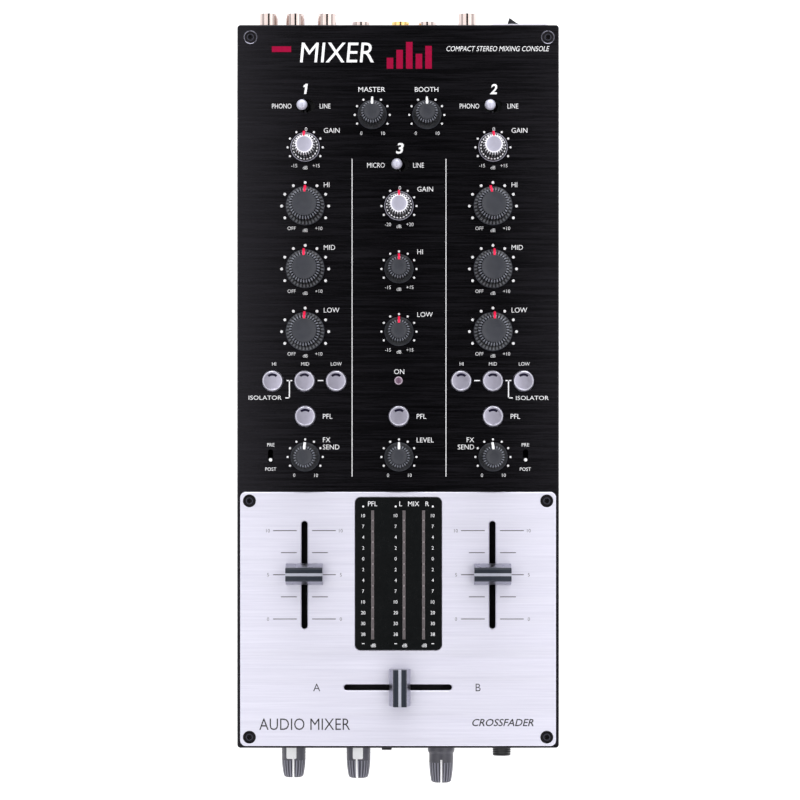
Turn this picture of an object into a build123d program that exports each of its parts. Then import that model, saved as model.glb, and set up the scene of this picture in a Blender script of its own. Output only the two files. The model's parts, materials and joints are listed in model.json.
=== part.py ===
from build123d import *
from math import cos, radians, sin, tan
import os

# Three-channel DJ mixer, millimetres. +X is the user's right, +Y the rear with its
# sockets, +Z up. The origin is under the middle of the whole mixer, on the table.
# Every (x, y) place below is counted from the middle of the top panel.

# ---- driving dimensions -------------------------------------------------------------
PANEL_WIDTH = 146.8
PANEL_DEPTH = 330.0
PANEL_THICK = 2.0
PANEL_TOP = 72.0
FOOT_HEIGHT = 4.0
SHEET = 1.5
EDGE_INSET = 0.5
FRONT_REACH = 18.8
REAR_REACH = 14.4
PANEL_Y = (FRONT_REACH - REAR_REACH) / 2

# Bright plate that carries the three faders.
PLATE_WIDTH = 144.0
PLATE_DEPTH = 115.8
PLATE_THICK = 1.5
PLATE_Y = -106.1
PLATE_TOP = PANEL_TOP + PLATE_THICK
EDGE_BREAK = 0.4

# Columns of the channel strips.
COLUMN_1 = -42.4
COLUMN_3 = 0.4
COLUMN_2 = 43.3

# Rotary controls.
# Radii of a knob's skirt, its fluted grip and its flat top.
BIG_RADII = (8.9, 7.3, 5.45)
SMALL_RADII = (6.65, 5.2, 3.4)
KNOB_HEIGHT = 15.0
KNOB_GAP = 0.8
BIG_FLUTES = 32
SMALL_FLUTES = 24
SHAFT_R = 3.0
SHAFT_DROP = 16.8
MOVING_GAP = 0.4

# Push buttons.
BUTTON_R = 4.55
BUTTON_PROUD = 2.2
BUTTON_TRAVEL = 1.2
BUTTON_SHOULDER = 68.2
PLUNGER_R = 1.8
PLUNGER_BOTTOM = 59.6
SWITCH_TOP = 61.5

# Ball-ended levers: height of the pivot, its arm up to the ball, and lean at rest.
TOGGLE_PIVOT = 67.0
TOGGLE_ARM = 10.0
TOGGLE_LEAN = 8.0
TOGGLE_BALL_R = 2.45
TOGGLE_SWIVEL_R = 2.0
TOGGLE_PIN_R = 0.8
TOGGLE_PIN_HALF = 3.0

# Send-point slides.
SEND_SLOT = (2.4, 6.2)
SEND_REST_Y = -33.55
SEND_TRAVEL = 3.5
SEND_KEY = (2.2, 2.6)
SEND_KEY_BOTTOM = 60.0
SEND_KEY_TOP = 65.0
SEND_HOUSING_TOP = 66.0

# Faders. The slots' middles, and how far off the middle the caps rest.
FADER_Y = -86.0
FADER_TRAVEL = 45.0
FADER_SLOT = (2.8, 49.2)
FADER_REST = 0.35
CROSS_X = -0.1
CROSS_Y = -137.3
CROSS_REST = 0.9
STEM = (1.0, 3.6)

# Board that carries the controls, and the inside of the case.
BOARD_BOTTOM = 50.0
BOARD_THICK = 1.6
BOARD_TOP = BOARD_BOTTOM + BOARD_THICK
PANEL_UNDER = PANEL_TOP - PANEL_THICK
CASE_X = PANEL_WIDTH / 2 - EDGE_INSET
CASE_Y = PANEL_DEPTH / 2 - EDGE_INSET
FLOOR_TOP = FOOT_HEIGHT + SHEET

# Control places: name, x, y, pointer angle at rest in degrees (anticlockwise).
BIG_KNOBS = [
    ("channel_1_hi_knob", COLUMN_1, 82.3, -1),
    ("channel_1_mid_knob", COLUMN_1, 53.6, 3),
    ("channel_1_low_knob", COLUMN_1, 25.0, 1),
    ("channel_2_hi_knob", COLUMN_2, 82.3, 9),
    ("channel_2_mid_knob", COLUMN_2, 53.6, -3),
    ("channel_2_low_knob", COLUMN_2, 25.0, -4),
]
SMALL_KNOBS = [
    ("channel_1_gain_knob", COLUMN_1, 109.1, 3),
    ("channel_2_gain_knob", COLUMN_2, 109.1, 0),
    ("channel_3_gain_knob", COLUMN_3, 82.3, 0),
    ("channel_3_hi_knob", COLUMN_3, 53.6, 0),
    ("channel_3_low_knob", COLUMN_3, 25.0, 0),
    ("channel_3_level_knob", COLUMN_3, -32.2, 0),
    ("channel_1_fx_send_knob", COLUMN_1, -32.2, 0),
    ("channel_2_fx_send_knob", COLUMN_2, -32.2, 4),
    ("master_level_knob", -11.8, 123.9, 0),
    ("booth_level_knob", 13.1, 123.9, 0),
]
BUTTONS = [
    ("isolator_1_hi_button", -57.3, 2.5),
    ("isolator_1_mid_button", -42.7, 2.5),
    ("isolator_1_low_button", -28.3, 2.5),
    ("isolator_2_hi_button", 28.8, 2.5),
    ("isolator_2_mid_button", 43.2, 2.5),
    ("isolator_2_low_button", 57.3, 2.5),
    ("cue_1_button", COLUMN_1, -13.6),
    ("cue_3_button", COLUMN_3, -13.6),
    ("cue_2_button", COLUMN_2, -13.6),
]
TOGGLES = [
    ("source_1_toggle", COLUMN_1, 128.0),
    ("source_2_toggle", COLUMN_2, 128.0),
    ("source_3_toggle", 0.8, 101.1),
]
SLIDE_SWITCHES = [("send_point_1_slide", -58.2), ("send_point_2_slide", 58.2)]
CHANNEL_FADERS = [("channel_1_fader", COLUMN_1 - 0.3), ("channel_2_fader", COLUMN_2 - 0.3)]
POWER_LED = (0.2, 2.65)
METER = (0.15, -85.45, 39.2, 69.5)

# Front controls: name, x, flange and grip radius, reach out of the panel's edge,
# pointer angle at rest.
FRONT_Z = 37.0
FRONT_KNOBS = [
    ("cue_level_knob", -48.75, 5.55, 5.5, 16.3, 0),
    ("cue_mix_knob", -18.5, 5.55, 5.5, 16.6, 8),
    ("mic_level_knob", 20.1, 6.2, 5.6, FRONT_REACH, 0),
]
REVERSE_X = -5.3
REVERSE_TRAVEL = 2.5
REVERSE_KEY = (2.6, 2.2)
REVERSE_SLOT = (REVERSE_TRAVEL + REVERSE_KEY[0] + 2 * MOVING_GAP, 3.0)
PHONE_JACK_X = 48.35
PHONE_JACK_BORE_R = 3.25
PHONE_JACK_NOSE = 6.2
PHONE_JACK_DEPTH = 33.0

# Rear sockets: (x, height).
UPPER_Z = 47.0
PAIR_Z = 34.0
LOWER_Z = 20.0
PHONO_R = 4.15
PHONO_BORE_R = 3.45
PHONO_REACH = 8.3
PHONO_SOCKETS = [
    (-60.2, UPPER_Z), (-60.2, PAIR_Z), (-47.8, UPPER_Z), (-47.8, PAIR_Z),
    (-33.1, UPPER_Z), (-33.1, PAIR_Z), (32.1, UPPER_Z), (-17.6, LOWER_Z), (13.7, LOWER_Z),
]
GOLD_SOCKET = [(1.1, LOWER_Z)]
GROUND_POST = (-33.5, LOWER_Z)
INLET_X = 55.9
INLET_Z = 27.0
INLET_CAVITY = (23.4, 15.4, 15.5)
MODULE_PLATE = (26.0, 50.0, 2.4)
MODULE_BODY = (25.2, 46.0, 18.5)
MODULE_Z = 36.5
ROCKER_Z = 50.0
ROCKER_TILT = 17.0
ROCKER_HALF = 5.9
ROCKER_HIGH = 13.0
ROCKER_WELL = (14.2, 14.0, 10.0)
ROCKER_PIVOT_IN = 1.5
TRUNNION_R = 1.2
TRUNNION_LONG = 1.3

SCREW_HEAD_R = 3.05
PANEL_SCREWS = [(-67.4, 159.4), (68.4, 159.4)]
PLATE_SCREWS = [(-67.8, -52.25), (67.8, -52.25), (-67.8, -160.0), (67.8, -160.0)]


# ---- helpers ------------------------------------------------------------------------
def level(height, x=0.0, y=0.0):
    """Horizontal plane at a height, with its origin at a place on the panel."""
    return Plane((x, y + PANEL_Y, height))


def facing_front(reach, x=0.0, z=0.0, turn=0.0):
    """Upright plane that looks out of the front, reach mm inside (-) or out of its edge."""
    across = (cos(radians(turn)), 0, sin(radians(turn)))
    return Plane((x, PANEL_Y - PANEL_DEPTH / 2 - reach, z), across, (0, -1, 0))


def facing_rear(reach, x=0.0, z=0.0):
    """Upright plane that looks out of the rear; its own x runs towards -X."""
    return Plane((x, PANEL_Y + PANEL_DEPTH / 2 + reach, z), (-1, 0, 0), (0, 1, 0))


def side_of(base):
    """Plane through a base plane's axis: x is its x, y its outward normal."""
    return Plane(base.origin, base.x_dir, -base.y_dir)


def fin_of(base):
    """Plane through a base plane's axis: x is its y (the pointer), y its normal."""
    return Plane(base.origin, base.y_dir, base.x_dir)


def save(shape, name):
    """Label one finished sub-part and write its STEP file."""
    shape.label = name
    export_step(shape, f"parts/{name}.step")


def save_group(pieces, name):
    """Write pieces that touch but stay separate solids as one node."""
    save(Compound(children=[piece.part for piece in pieces]), name)


# ---- rotary knobs -------------------------------------------------------------------
def fluted_knob(name, base, radii, flutes):
    """Fluted grip with a sloping shoulder on a round skirt, with a pointer fin and its shaft."""
    skirt_r, grip_r, top_r = radii
    axis = Axis(base.origin, base.z_dir)
    height = KNOB_HEIGHT
    rim_high = 1.0
    flare_high = 4.0
    shoulder_high = 12.0
    pointer_half = 0.58
    flute_long = 2.2
    with BuildPart() as pointer:
        with BuildSketch(fin_of(base)):
            Polygon(
                (top_r - 0.2, height + 0.15),
                (top_r + 0.6, height + 0.15),
                (skirt_r - 0.4, height * 0.66),
                (skirt_r, height * 0.5),
                (skirt_r, rim_high),
                (top_r - 0.2, rim_high),
                align=None,
            )
        extrude(amount=pointer_half, both=True)
    with BuildPart() as shaft:
        with BuildSketch(base.offset(-SHAFT_DROP)):
            Circle(SHAFT_R)
        extrude(amount=SHAFT_DROP + height * 0.5)
    with BuildPart() as cap:
        with BuildSketch(side_of(base)):
            with BuildLine():
                Polyline(
                    (0, 0),
                    (skirt_r, 0),
                    (skirt_r, rim_high),
                    (skirt_r - 0.5, rim_high + 0.5),
                    (grip_r, flare_high),
                    (grip_r - 0.2, shoulder_high),
                    (top_r + 0.25, height - 0.4),
                    (top_r, height),
                    (0, height - 0.3),
                    close=True,
                )
            make_face()
        revolve(axis=axis)
        with BuildSketch(base.offset(flare_high - 1.0)):
            with PolarLocations(top_r + 0.45 + flute_long / 2, flutes):
                Rectangle(flute_long, 0.55)
        extrude(amount=height, mode=Mode.SUBTRACT)
        add(pointer.part, mode=Mode.SUBTRACT)
        add(shaft.part, mode=Mode.SUBTRACT)
    save_group([cap, pointer, shaft], name)


def front_knob(name, base, flange_r, grip_r, reach):
    """Slim front knob: flange, plain barrel, fluted grip, raised pointer and its shaft."""
    axis = Axis(base.origin, base.z_dir)
    tip_r = grip_r * 0.8
    flute_from = reach * 0.52
    drop = 7.0
    with BuildPart() as pointer:
        with BuildSketch(fin_of(base)):
            Polygon(
                (grip_r - 1.2, flute_from - 2.0),
                (grip_r + 0.15, flute_from - 2.0),
                (grip_r + 0.15, flute_from),
                (tip_r + 0.25, reach - 0.5),
                (tip_r - 0.6, reach),
                (tip_r - 1.2, reach),
                align=None,
            )
        extrude(amount=0.5, both=True)
    with BuildPart() as shaft:
        with BuildSketch(base.offset(-drop)):
            Circle(SHAFT_R)
        extrude(amount=drop + reach * 0.6)
    with BuildPart() as cap:
        with BuildSketch(side_of(base)):
            with BuildLine():
                Polyline(
                    (0, 0),
                    (flange_r, 0),
                    (flange_r, 1.0),
                    (grip_r, 4.5),
                    (grip_r, flute_from),
                    (tip_r + 0.2, reach - 0.8),
                    (tip_r - 0.6, reach),
                    (0, reach),
                    close=True,
                )
            make_face()
        revolve(axis=axis)
        with BuildSketch(base.offset(flute_from)):
            with PolarLocations(grip_r, 18):
                Rectangle(1.1, 0.6)
        extrude(amount=reach, mode=Mode.SUBTRACT)
        add(pointer.part, mode=Mode.SUBTRACT)
        add(shaft.part, mode=Mode.SUBTRACT)
    save_group([cap, pointer, shaft], name)


def make_knobs():
    for name, x, y, turn in BIG_KNOBS:
        base = level(PANEL_TOP + KNOB_GAP, x, y).rotated((0, 0, turn))
        fluted_knob(name, base, BIG_RADII, BIG_FLUTES)
    for name, x, y, turn in SMALL_KNOBS:
        base = level(PANEL_TOP + KNOB_GAP, x, y).rotated((0, 0, turn))
        fluted_knob(name, base, SMALL_RADII, SMALL_FLUTES)
    for name, x, flange_r, grip_r, reach, turn in FRONT_KNOBS:
        base = facing_front(KNOB_GAP, x, FRONT_Z, turn)
        front_knob(name, base, flange_r, grip_r, reach - KNOB_GAP)


# ---- buttons, toggles and slides ----------------------------------------------------
def make_buttons():
    for name, x, y in BUTTONS:
        with BuildPart() as button:
            with BuildSketch(level(BUTTON_SHOULDER, x, y)):
                Circle(BUTTON_R)
            extrude(amount=PANEL_TOP + BUTTON_PROUD - BUTTON_SHOULDER)
            fillet(button.edges().group_by(Axis.Z)[-1], radius=0.5)
            with BuildSketch(level(BUTTON_SHOULDER, x, y)):
                Circle(BUTTON_R + 1.1)
            extrude(amount=PANEL_UNDER - 0.6 - BUTTON_SHOULDER)
            with BuildSketch(level(PLUNGER_BOTTOM, x, y)):
                Circle(PLUNGER_R)
            extrude(amount=BUTTON_SHOULDER - PLUNGER_BOTTOM)
        save(button.part, name)


def make_toggles():
    """Ball-ended levers, all leaning to the left contact."""
    lean = radians(TOGGLE_LEAN)
    for name, x, y in TOGGLES:
        pivot = (x, y + PANEL_Y, TOGGLE_PIVOT)
        base = Plane(pivot, (cos(lean), 0, sin(lean)), (-sin(lean), 0, cos(lean)))
        with BuildPart() as toggle:
            with BuildSketch(side_of(base)):
                Polygon(
                    (0, 0),
                    (1.55, 0),
                    (1.35, 4.0),
                    (1.05, TOGGLE_ARM),
                    (0, TOGGLE_ARM),
                    align=None,
                )
            revolve(axis=Axis(base.origin, base.z_dir))
            with Locations(base.origin):
                Sphere(TOGGLE_SWIVEL_R)
            with Locations(base.offset(TOGGLE_ARM).origin):
                Sphere(TOGGLE_BALL_R)
            with BuildSketch(side_of(base)):
                Circle(TOGGLE_PIN_R)
            extrude(amount=TOGGLE_PIN_HALF, both=True)
        save(toggle.part, name)


def make_send_slides():
    """Small round stems that slide in the two short slots beside the send knobs."""
    for name, x in SLIDE_SWITCHES:
        with BuildPart() as slide:
            with BuildSketch(level(SEND_KEY_BOTTOM, x, SEND_REST_Y)):
                Rectangle(*SEND_KEY)
            extrude(amount=SEND_KEY_TOP - SEND_KEY_BOTTOM)
            with BuildSketch(level(SEND_KEY_TOP, x, SEND_REST_Y)):
                Circle(0.85)
            extrude(amount=PANEL_TOP + 1.2 - SEND_KEY_TOP)
            fillet(slide.edges().group_by(Axis.Z)[-1], radius=0.4)
        save(slide.part, name)


def make_reverse_slide():
    """Slide of the crossfader reverse switch on the front panel."""
    with BuildPart() as slide:
        with BuildSketch(facing_front(-4.5, REVERSE_X, FRONT_Z)):
            Rectangle(*REVERSE_KEY)
        extrude(amount=4.5)
        with BuildSketch(facing_front(0.0, REVERSE_X, FRONT_Z)):
            RectangleRounded(4.7, 4.2, 0.6)
        extrude(amount=3.6)
        fillet(slide.edges().group_by(Axis.Y)[0], radius=0.5)
    save(slide.part, "reverse_slide")


# ---- faders -------------------------------------------------------------------------
def fader(name, base, wide, deep, grip_deep):
    """Fader cap over its stem: sloped skirt, dark grip and pale line. Travel is along y."""
    high = 10.5
    shoulder = 5.0
    line_half = 0.62
    side = Plane(base.origin, base.y_dir, base.x_dir)
    with BuildPart() as skirt:
        with BuildSketch(side):
            Polygon(
                (-deep / 2, 0),
                (deep / 2, 0),
                (deep / 2, 0.9),
                (grip_deep / 2 + 0.2, shoulder),
                (-grip_deep / 2 - 0.2, shoulder),
                (-deep / 2, 0.9),
                align=None,
            )
        extrude(amount=wide / 2, both=True)
    with BuildPart() as line:
        with BuildSketch(side):
            with Locations((0, high - 0.8)):
                Rectangle(2 * line_half, 1.0)
        extrude(amount=wide / 2 - 0.1, both=True)
    with BuildPart() as grip:
        with BuildSketch(side):
            Polygon(
                (-grip_deep / 2, shoulder),
                (grip_deep / 2, shoulder),
                (grip_deep / 2, high - 0.9),
                (grip_deep / 2 - 0.7, high),
                (line_half, high - 0.3),
                (-line_half, high - 0.3),
                (-grip_deep / 2 + 0.7, high),
                (-grip_deep / 2, high - 0.9),
                align=None,
            )
        extrude(amount=wide / 2 - 0.1, both=True)
        add(line.part, mode=Mode.SUBTRACT)
    with BuildPart() as stem:
        with BuildSketch(base.offset(-13.0)):
            Rectangle(*STEM)
        extrude(amount=13.0 + shoulder - 1.0)
        with BuildSketch(base.offset(-13.0)):
            Rectangle(5.2, 8.0)
        extrude(amount=3.5)
    with BuildPart() as hollow_skirt:
        add(skirt.part)
        add(stem.part, mode=Mode.SUBTRACT)
    save_group([hollow_skirt, grip, line, stem], name)


def make_faders():
    for name, x in CHANNEL_FADERS:
        fader(name, level(PLATE_TOP + 0.5, x, FADER_Y + FADER_REST), 17.0, 9.7, 6.2)
    across = level(PLATE_TOP + 0.5, CROSS_X + CROSS_REST, CROSS_Y).rotated((0, 0, 90))
    fader("crossfader", across, 16.9, 9.7, 6.2)


# ---- top of the case ----------------------------------------------------------------
def screw_blanks():
    """Countersunk screws, heads flush with the panel and the plate, before their sockets."""
    neck = 1.4
    with BuildPart() as blanks:
        for places, top in ((PANEL_SCREWS, PANEL_TOP), (PLATE_SCREWS, PLATE_TOP)):
            with BuildSketch(level(top - 7.0)):
                with Locations(*places):
                    Circle(1.5)
            extrude(amount=7.0)
            for x, y in places:
                with BuildSketch(level(top, x, y)):
                    Circle(SCREW_HEAD_R)
                with BuildSketch(level(top - neck, x, y)):
                    Circle(1.5)
                loft()
    return blanks.part


def make_screws(blanks):
    with BuildPart() as screws:
        add(blanks)
        for places, top in ((PANEL_SCREWS, PANEL_TOP), (PLATE_SCREWS, PLATE_TOP)):
            with BuildSketch(level(top)):
                with Locations(*places):
                    RegularPolygon(1.25, 6)
            extrude(amount=-1.0, mode=Mode.SUBTRACT)
    save(screws.part, "panel_screws")


def make_top_panel(blanks):
    """Black panel with a hole for every control."""
    knob_places = [(x, y) for _, x, y, _ in BIG_KNOBS + SMALL_KNOBS]
    button_places = [(x, y) for _, x, y in BUTTONS]
    with BuildPart() as panel:
        with BuildSketch(level(PANEL_UNDER)):
            RectangleRounded(PANEL_WIDTH, PANEL_DEPTH, 1.5)
            with Locations(*knob_places):
                Circle(SHAFT_R + 0.8, mode=Mode.SUBTRACT)
            with Locations(*button_places):
                Circle(BUTTON_R + MOVING_GAP, mode=Mode.SUBTRACT)
            with Locations(*[(x, y) for _, x, y in TOGGLES]):
                SlotOverall(8.6, 6.0, mode=Mode.SUBTRACT)
            with Locations(*[(x, SEND_REST_Y + SEND_TRAVEL / 2) for _, x in SLIDE_SWITCHES]):
                SlotOverall(SEND_SLOT[1], SEND_SLOT[0], rotation=90, mode=Mode.SUBTRACT)
            with Locations(POWER_LED):
                Circle(1.88, mode=Mode.SUBTRACT)
            with Locations(*[(x, FADER_Y) for _, x in CHANNEL_FADERS]):
                Rectangle(5.0, 53.0, mode=Mode.SUBTRACT)
            with Locations((CROSS_X, CROSS_Y)):
                Rectangle(53.0, 5.0, mode=Mode.SUBTRACT)
            with Locations(METER[:2]):
                Rectangle(METER[2] - 4, METER[3] - 4, mode=Mode.SUBTRACT)
        extrude(amount=PANEL_THICK)
        chamfer(panel.faces().sort_by(Axis.Z)[-1].outer_wire().edges(), length=EDGE_BREAK)
        add(blanks, mode=Mode.SUBTRACT)
    save(panel.part, "top_panel")


def make_fader_plate(blanks):
    with BuildPart() as plate:
        with BuildSketch(level(PANEL_TOP)):
            with Locations((0, PLATE_Y)):
                RectangleRounded(PLATE_WIDTH, PLATE_DEPTH, 2.5)
            with Locations(METER[:2]):
                RectangleRounded(METER[2], METER[3], 2.4, mode=Mode.SUBTRACT)
            with Locations(*[(x, FADER_Y) for _, x in CHANNEL_FADERS]):
                SlotOverall(FADER_SLOT[1], FADER_SLOT[0], rotation=90, mode=Mode.SUBTRACT)
            with Locations((CROSS_X, CROSS_Y)):
                SlotOverall(FADER_SLOT[1], FADER_SLOT[0], mode=Mode.SUBTRACT)
        extrude(amount=PLATE_THICK)
        chamfer(plate.faces().sort_by(Axis.Z)[-1].edges(), length=EDGE_BREAK)
        add(blanks, mode=Mode.SUBTRACT)
    save(plate.part, "fader_plate")


METER_BARS = [-11.6, 2.7, 11.6]
METER_SEGMENTS = 12
METER_PITCH = 4.97
METER_BAR_Y = -86.0


def make_meter():
    """Black bezel set in the plate, and the three rows of light segments let into it."""
    bar_long = METER_SEGMENTS * METER_PITCH
    bezel_thick = PLATE_THICK + 0.1
    with BuildPart() as bezel:
        with BuildSketch(level(PANEL_TOP)):
            with Locations(METER[:2]):
                RectangleRounded(METER[2], METER[3], 2.4)
        extrude(amount=bezel_thick)
        with BuildSketch(level(PANEL_TOP + bezel_thick)):
            with Locations(*[(x, METER_BAR_Y) for x in METER_BARS]):
                Rectangle(1.4, bar_long)
        extrude(amount=-0.8, mode=Mode.SUBTRACT)
    save(bezel.part, "meter_bezel")
    rows = [METER_BAR_Y + METER_PITCH * (i - (METER_SEGMENTS - 1) / 2) for i in range(METER_SEGMENTS)]
    with BuildPart() as bars:
        with BuildSketch(level(PANEL_TOP + bezel_thick - 0.8)):
            with Locations(*[(x, y) for x in METER_BARS for y in rows]):
                Rectangle(1.4, METER_PITCH - 0.3)
        extrude(amount=0.85)
    save(bars.part, "meter_light_bars")


def make_power_led():
    with BuildPart() as led:
        with BuildSketch(level(66.5, *POWER_LED)):
            Circle(2.4)
        extrude(amount=PANEL_UNDER - 66.5)
        with BuildSketch(level(PANEL_UNDER, *POWER_LED)):
            Circle(1.88)
        extrude(amount=PANEL_THICK + 0.8)
        fillet(led.edges().group_by(Axis.Z)[-1], radius=0.7)
    save(led.part, "power_led")


# ---- case ---------------------------------------------------------------------------
def make_chassis_tray(blanks):
    """Folded sheet: floor, two side walls and their inward flanges under the panel."""
    inner_x = CASE_X - SHEET
    flange_in = CASE_X - 9.0
    with BuildPart() as tray:
        with BuildSketch(Plane.XZ.offset(-PANEL_Y - CASE_Y)):
            with BuildLine():
                Polyline(
                    (-CASE_X, FOOT_HEIGHT),
                    (CASE_X, FOOT_HEIGHT),
                    (CASE_X, PANEL_UNDER),
                    (flange_in, PANEL_UNDER),
                    (flange_in, PANEL_UNDER - SHEET),
                    (inner_x, PANEL_UNDER - SHEET),
                    (inner_x, FLOOR_TOP),
                    (-inner_x, FLOOR_TOP),
                    (-inner_x, PANEL_UNDER - SHEET),
                    (-flange_in, PANEL_UNDER - SHEET),
                    (-flange_in, PANEL_UNDER),
                    (-CASE_X, PANEL_UNDER),
                    close=True,
                )
            make_face()
        extrude(amount=2 * CASE_Y)
        add(blanks, mode=Mode.SUBTRACT)
        # The flanges stop short of the front and rear panels.
        with BuildSketch(level(PANEL_UNDER - SHEET)):
            with Locations((0, CASE_Y - SHEET / 2), (0, SHEET / 2 - CASE_Y)):
                Rectangle(2 * inner_x, SHEET)
        extrude(amount=SHEET, mode=Mode.SUBTRACT)
    save(tray.part, "chassis_tray")


def wall_outline():
    with Locations((0, (FLOOR_TOP + PANEL_UNDER) / 2)):
        Rectangle(2 * (CASE_X - SHEET), PANEL_UNDER - FLOOR_TOP)


def make_front_panel():
    with BuildPart() as front:
        with BuildSketch(facing_front(-EDGE_INSET)):
            wall_outline()
            with Locations(*[(knob[1], FRONT_Z) for knob in FRONT_KNOBS]):
                Circle(SHAFT_R + 0.8, mode=Mode.SUBTRACT)
            with Locations((REVERSE_X + REVERSE_TRAVEL / 2, FRONT_Z)):
                Rectangle(*REVERSE_SLOT, mode=Mode.SUBTRACT)
            with Locations((PHONE_JACK_X, FRONT_Z)):
                Circle(4.3, mode=Mode.SUBTRACT)
        extrude(amount=-SHEET)
    save(front.part, "front_panel")


def make_rear_panel():
    with BuildPart() as rear:
        with BuildSketch(facing_rear(-EDGE_INSET)):
            wall_outline()
            with Locations(*[(-x, z) for x, z in PHONO_SOCKETS + GOLD_SOCKET]):
                Circle(PHONO_R, mode=Mode.SUBTRACT)
            with Locations((-GROUND_POST[0], GROUND_POST[1])):
                Circle(2.5, mode=Mode.SUBTRACT)
            with Locations((-INLET_X, MODULE_Z)):
                Rectangle(*MODULE_BODY[:2], mode=Mode.SUBTRACT)
        extrude(amount=-SHEET)
    save(rear.part, "rear_panel")


def make_feet():
    with BuildPart() as feet:
        with BuildSketch(level(0)):
            with GridLocations(116.0, 284.0, 2, 2):
                Circle(7.5)
        extrude(amount=FOOT_HEIGHT)
        chamfer(feet.edges().group_by(Axis.Z)[0], length=0.8)
    save(feet.part, "rubber_feet")


# ---- rear connectors ----------------------------------------------------------------
def phono_shells(places, name):
    """Round socket shells with a flange against the panel."""
    own = [(-x, z) for x, z in places]
    with BuildPart() as shells:
        with BuildSketch(facing_rear(-6.0)):
            with Locations(*own):
                Circle(PHONO_R)
        extrude(amount=6.0 + PHONO_REACH)
        with BuildSketch(facing_rear(-EDGE_INSET)):
            with Locations(*own):
                Circle(5.2)
        extrude(amount=0.8)
        with BuildSketch(facing_rear(-6.0)):
            with Locations(*own):
                Circle(PHONO_BORE_R)
        extrude(amount=6.0 + PHONO_REACH, mode=Mode.SUBTRACT)
    save(shells.part, name)


def make_phono_insulators():
    """Moulded cores inside the shells, with the hole for a plug's centre pin."""
    own = [(-x, z) for x, z in PHONO_SOCKETS + GOLD_SOCKET]
    with BuildPart() as cores:
        with BuildSketch(facing_rear(-12.0)):
            with Locations(*own):
                Circle(PHONO_BORE_R)
                Circle(1.7, mode=Mode.SUBTRACT)
        extrude(amount=12.0 + PHONO_REACH - 0.8)
    save(cores.part, "phono_insulators")


def make_ground_post():
    """Earth terminal: threaded post with a domed thumb nut."""
    base = facing_rear(-6.0, *GROUND_POST)
    reach = 6.0 + REAR_REACH
    with BuildPart() as post:
        with BuildSketch(side_of(base)):
            with BuildLine():
                Polyline(
                    (0, 0),
                    (2.5, 0),
                    (2.5, 6.0 - EDGE_INSET),
                    (4.0, 6.0 - EDGE_INSET),
                    (4.0, 8.0),
                    (2.5, 8.0),
                    (2.5, 9.0),
                    (5.1, 9.0),
                    (5.1, reach - 3.0),
                )
                ThreePointArc((5.1, reach - 3.0), (3.9, reach - 1.0), (1.5, reach))
                Polyline((1.5, reach), (0, reach), (0, 0))
            make_face()
        revolve(axis=Axis(base.origin, base.z_dir))
        with BuildSketch(base.offset(9.0)):
            with PolarLocations(5.3, 24):
                Circle(0.35)
        extrude(amount=8.4, mode=Mode.SUBTRACT)
    save(post.part, "ground_post")


def make_inlet_module():
    """Mains module: face plate and body with the inlet's cavity and the rocker's well."""
    face = -EDGE_INSET + MODULE_PLATE[2]
    corners = [(side * INLET_CAVITY[0] / 2, INLET_CAVITY[1] / 2) for side in (-1, 1)]
    with BuildPart() as module:
        with BuildSketch(facing_rear(-EDGE_INSET, INLET_X, MODULE_Z)):
            RectangleRounded(MODULE_PLATE[0], MODULE_PLATE[1], 1.5)
        extrude(amount=MODULE_PLATE[2])
        with BuildSketch(facing_rear(-EDGE_INSET, INLET_X, MODULE_Z)):
            Rectangle(*MODULE_BODY[:2])
        extrude(amount=-MODULE_BODY[2])
        with BuildSketch(facing_rear(face, INLET_X, INLET_Z)):
            Rectangle(*INLET_CAVITY[:2])
            with Locations(*corners):
                Rectangle(5.0, 5.0, rotation=45, mode=Mode.SUBTRACT)
        extrude(amount=-INLET_CAVITY[2], mode=Mode.SUBTRACT)
        with BuildSketch(facing_rear(face, INLET_X, ROCKER_Z)):
            Rectangle(*ROCKER_WELL[:2])
        extrude(amount=-ROCKER_WELL[2], mode=Mode.SUBTRACT)
        bearing = facing_rear(face - ROCKER_PIVOT_IN, INLET_X, ROCKER_Z).origin
        with Locations(bearing):
            bearing_long = ROCKER_HIGH + 2 * TRUNNION_LONG + 1.0
            Cylinder(TRUNNION_R + MOVING_GAP, bearing_long, mode=Mode.SUBTRACT)
    save(module.part, "mains_module")


def make_inlet_pins():
    """Three flat contact blades standing in the inlet's cavity."""
    floor = -EDGE_INSET + MODULE_PLATE[2] - INLET_CAVITY[2]
    with BuildPart() as pins:
        with BuildSketch(facing_rear(floor, INLET_X, INLET_Z)):
            with Locations((-7.0, -2.0), (7.0, -2.0), (0, 2.0)):
                Rectangle(2.0, 4.0)
        extrude(amount=10.0)
        chamfer(pins.edges().group_by(Axis.Y)[-1], length=0.5)
    save(pins.part, "inlet_pins")


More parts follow.
